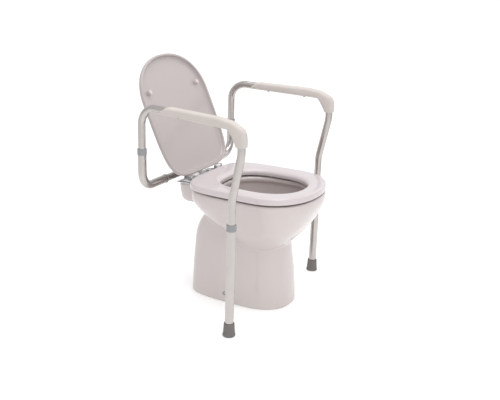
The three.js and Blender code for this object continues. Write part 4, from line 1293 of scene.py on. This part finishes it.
class TOILET_OT_legs(bpy.types.Operator):
    """Make the two front legs with their sleeves and rubber feet"""

    bl_idname = "toilet.legs"
    bl_label = "Legs and Feet"

    def execute(self, context):
        sizes = context.scene.toilet_rails
        for side, hand in HANDS:
            low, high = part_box(hand + "_leg_tube")
            axis = middle(hand + "_front_collar")
            tube = straight_tube(hand + "_drawn_leg", Vector((axis.x, axis.y, low.z)),
                                 Vector((axis.x, axis.y, high.z)), sizes.outer_radius,
                                 sizes.outer_radius - sizes.outer_bore)
            button = middle(hand + "_front_button")
            back = -rail_plane(hand).heading
            cut(tube, button_hole(Vector((axis.x, axis.y, button.z)), back, sizes))
            body = hand + "_leg"
            settle(tube, body, "tube", [hand + "_leg_tube"])
            settle(sleeve(hand + "_front_collar", (0, 0, 1), sizes), body, "collar",
                   [hand + "_front_collar"])
            settle(self.foot(hand, sizes), body, "foot_rubber", [hand + "_foot"])
        return {"FINISHED"}

    def foot(self, hand, sizes):
        node = hand + "_foot"
        low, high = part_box(node)
        base = Vector((middle(node).x, middle(node).y, low.z))
        wide, tall = half_width(node, 0), high.z - low.z
        bore, sole = sizes.outer_radius + 0.4 * MM, 8 * MM
        top = bore + 2.4 * MM
        profile = [
            (0, 2 * MM), (6 * MM, 2 * MM), (6 * MM, 0), (9 * MM, 0), (9 * MM, 1.2 * MM),
            (12 * MM, 1.2 * MM), (12 * MM, 0), (15 * MM, 0), (15 * MM, 1.2 * MM),
            (17.4 * MM, 1.2 * MM), (17.4 * MM, 0), (wide - 1.6 * MM, 0), (wide, 2.4 * MM),
            (wide, 7.2 * MM), (wide - 1.5 * MM, 9.2 * MM), (wide - 1.9 * MM, 16 * MM),
            (top + 0.7 * MM, tall - 9 * MM), (top + 0.1 * MM, tall - 3 * MM), (top, tall),
            (bore, tall), (bore, sole), (0, sole),
        ]
        return turned(hand + "_ferrule", profile, base, (0, 0, 1), radius=0.9 * MM)


class TOILET_OT_buttons(bpy.types.Operator):
    """Turn the snap buttons and finish their leaf springs"""

    bl_idname = "toilet.buttons"
    bl_label = "Snap Buttons"

    def execute(self, context):
        sizes = context.scene.toilet_rails
        for side, hand in HANDS:
            heading = rail_plane(hand).heading
            leg = middle(hand + "_front_collar")
            rear, front = middle(hand + "_rear_button"), middle(hand + "_front_button")
            width = middle(hand + "_width_button")
            places = {
                "rear": (Vector((side * POST_X, BAR.y, rear.z)), heading),
                "front": (Vector((leg.x, leg.y, front.z)), -heading),
                "width": (Vector((width.x, BAR.y, BAR.z)), Vector((0, 1, 0))),
            }
            for where, (at, direction) in places.items():
                node = f"{hand}_{where}_button"
                made = self.button(f"{node}_cap", at, direction, sizes)
                settle(made, node, "steel", [node])
                refinish(f"{hand}_{where}_leaf", "steel")
        return {"FINISHED"}

    def button(self, name, at, direction, sizes):
        tip, end = sizes.inner_radius + 0.4 * MM, sizes.outer_radius + 2.6 * MM
        radius = sizes.button_radius
        profile = [(0, tip), (radius - 0.2 * MM, tip), (radius, tip + 0.3 * MM),
                   (radius, end - 1.9 * MM), (radius - 0.7 * MM, end - 0.8 * MM),
                   (radius - 2.2 * MM, end - 0.15 * MM), (0, end)]
        return turned(name, profile, at, direction, sides=32, radius=0.6 * MM)


# ---- Stage ----


class TOILET_OT_stage(bpy.types.Operator):
    """Lay the pale floor, set the soft lights and place the camera"""

    bl_idname = "toilet.stage"
    bl_label = "Stage"

    def execute(self, context):
        self.floor()
        self.sky(context.scene)
        self.flags()
        self.lights()
        self.camera(context.scene)
        context.scene.view_settings.view_transform = "Standard"
        return {"FINISHED"}

    def floor(self):
        deselect()
        bpy.ops.mesh.primitive_plane_add(size=80, location=(0, 0, -0.4 * MM))
        floor = bpy.context.object
        floor.name = "studio_floor"
        paper = Finish("studio_paper", IOR=1.4, Emission_Strength=0.21)
        grain = paper.noise(60, 3)
        paper.feed(
            Base_Color=paper.mix(grain, linear(246, 246, 246), linear(249, 249, 249)),
            Roughness=0.3 + grain * 0.04,
            Emission_Color=paper.mix(grain, (0.97, 0.97, 0.97), (1, 1, 1)),
        )
        floor.data.materials.append(paper.material)

    def sky(self, scene):
        world = bpy.data.worlds.new("studio")
        world.use_nodes = True
        world.node_tree.nodes["Background"].inputs["Color"].default_value = (1, 1, 1, 1)
        world.node_tree.nodes["Background"].inputs["Strength"].default_value = 0.86
        scene.world = world

    def flags(self):
        """Dark boards out of view, whose reflections draw a line down the tubes."""
        cloth = Finish("flag_cloth", Base_Color=(0.05, 0.05, 0.05, 1), Roughness=0.9)
        cloth.feed(Normal=cloth.bump(cloth.noise(900, 2), 0.2 * MM))
        for name, place, turn, wide in (
            ("right_flag", (1.35, -2.0, 1.0), -50, 1.9),
            ("left_flag", (-1.5, 2.3, 1.0), 130, 0.7),
        ):
            deselect()
            bpy.ops.mesh.primitive_plane_add(
                size=1, location=place, rotation=(math.radians(90), 0, math.radians(turn)),
                scale=(wide, 2, 1),
            )
            flag = bpy.context.object
            flag.scale = (wide, 2, 1)
            bpy.ops.object.transform_apply(location=True, rotation=True, scale=True)
            flag.name = name
            flag.data.materials.append(cloth.material)

    def lights(self):
        for name, place, size, power in (
            ("key_panel", (-1.6, -2.2, 2.6), 1.8, 24),
            ("fill_panel", (2.6, -1.2, 1.9), 2.2, 7),
            ("top_panel", (0.1, -0.2, 3.0), 2.0, 34),
        ):
            lamp = bpy.data.lights.new(name, "AREA")
            lamp.size = size
            lamp.energy = power
            holder = bpy.data.objects.new(name, lamp)
            holder.location = place
            aim = Vector((0, 0, 0.35)) - Vector(place)
            holder.rotation_euler = aim.to_track_quat("-Z", "Y").to_euler()
            bpy.context.scene.collection.objects.link(holder)

    def camera(self, scene):
        lens = bpy.data.cameras.new("camera")
        lens.sensor_width = 36
        lens.lens = 54.65
        lens.shift_x = 0.057
        lens.shift_y = 0.0176
        lens.clip_end = 200
        holder = bpy.data.objects.new("camera", lens)
        place = Vector((-2.2015, -1.2410, 1.1538))
        azimuth, elevation, roll = math.radians(-59.57), math.radians(18.60), math.radians(1.10)
        back = Vector((math.sin(azimuth) * math.cos(elevation),
                       -math.cos(azimuth) * math.cos(elevation), math.sin(elevation)))
        level = Vector((math.cos(azimuth), math.sin(azimuth), 0))
        up = back.cross(level)
        across = level * math.cos(roll) + up * math.sin(roll)
        above = up * math.cos(roll) - level * math.sin(roll)
        turn = Matrix((across, above, back)).transposed()
        holder.matrix_world = Matrix.Translation(place) @ turn.to_4x4()
        scene.collection.objects.link(holder)
        scene.camera = holder


# ---- Add-on ----

OPERATORS = (
    TOILET_OT_stage,
    TOILET_OT_pan,
    TOILET_OT_floor_fixings,
    TOILET_OT_seat,
    TOILET_OT_lid,
    TOILET_OT_hinges,
    TOILET_OT_mounting_bracket,
    TOILET_OT_elbows,
    TOILET_OT_rails,
    TOILET_OT_legs,
    TOILET_OT_buttons,
)


class TOILET_PT_pieces(bpy.types.Panel):
    """Lists the operators that build the toilet, with the sizes and colours that they use"""

    bl_idname = "TOILET_PT_pieces"
    bl_label = "Toilet with Support Rails"
    bl_space_type = "VIEW_3D"
    bl_region_type = "UI"
    bl_category = "Toilet"

    def draw(self, context):
        for operator in OPERATORS:
            self.layout.operator(operator.bl_idname)
        for name in GROUPS:
            group = getattr(context.scene, name)
            column = self.layout.column(align=True)
            for size in group.__annotations__:
                column.prop(group, size)


GROUPS = {
    "toilet_pan": ToiletPanSizes,
    "toilet_seat": ToiletSeatSizes,
    "toilet_rails": ToiletRailSizes,
    "toilet_colours": ToiletColours,
}


def register():
    for group in (*GROUPS.values(), *OPERATORS, TOILET_PT_pieces):
        bpy.utils.register_class(group)
    for name, group in GROUPS.items():
        setattr(bpy.types.Scene, name, PointerProperty(type=group))


def unregister():
    for name in GROUPS:
        delattr(bpy.types.Scene, name)
    for group in reversed((*GROUPS.values(), *OPERATORS, TOILET_PT_pieces)):
        bpy.utils.unregister_class(group)


def main():
    register()
    for operator in OPERATORS:
        category, name = operator.bl_idname.split(".")
        getattr(getattr(bpy.ops, category), name)()


if __name__ == "__main__":
    main()
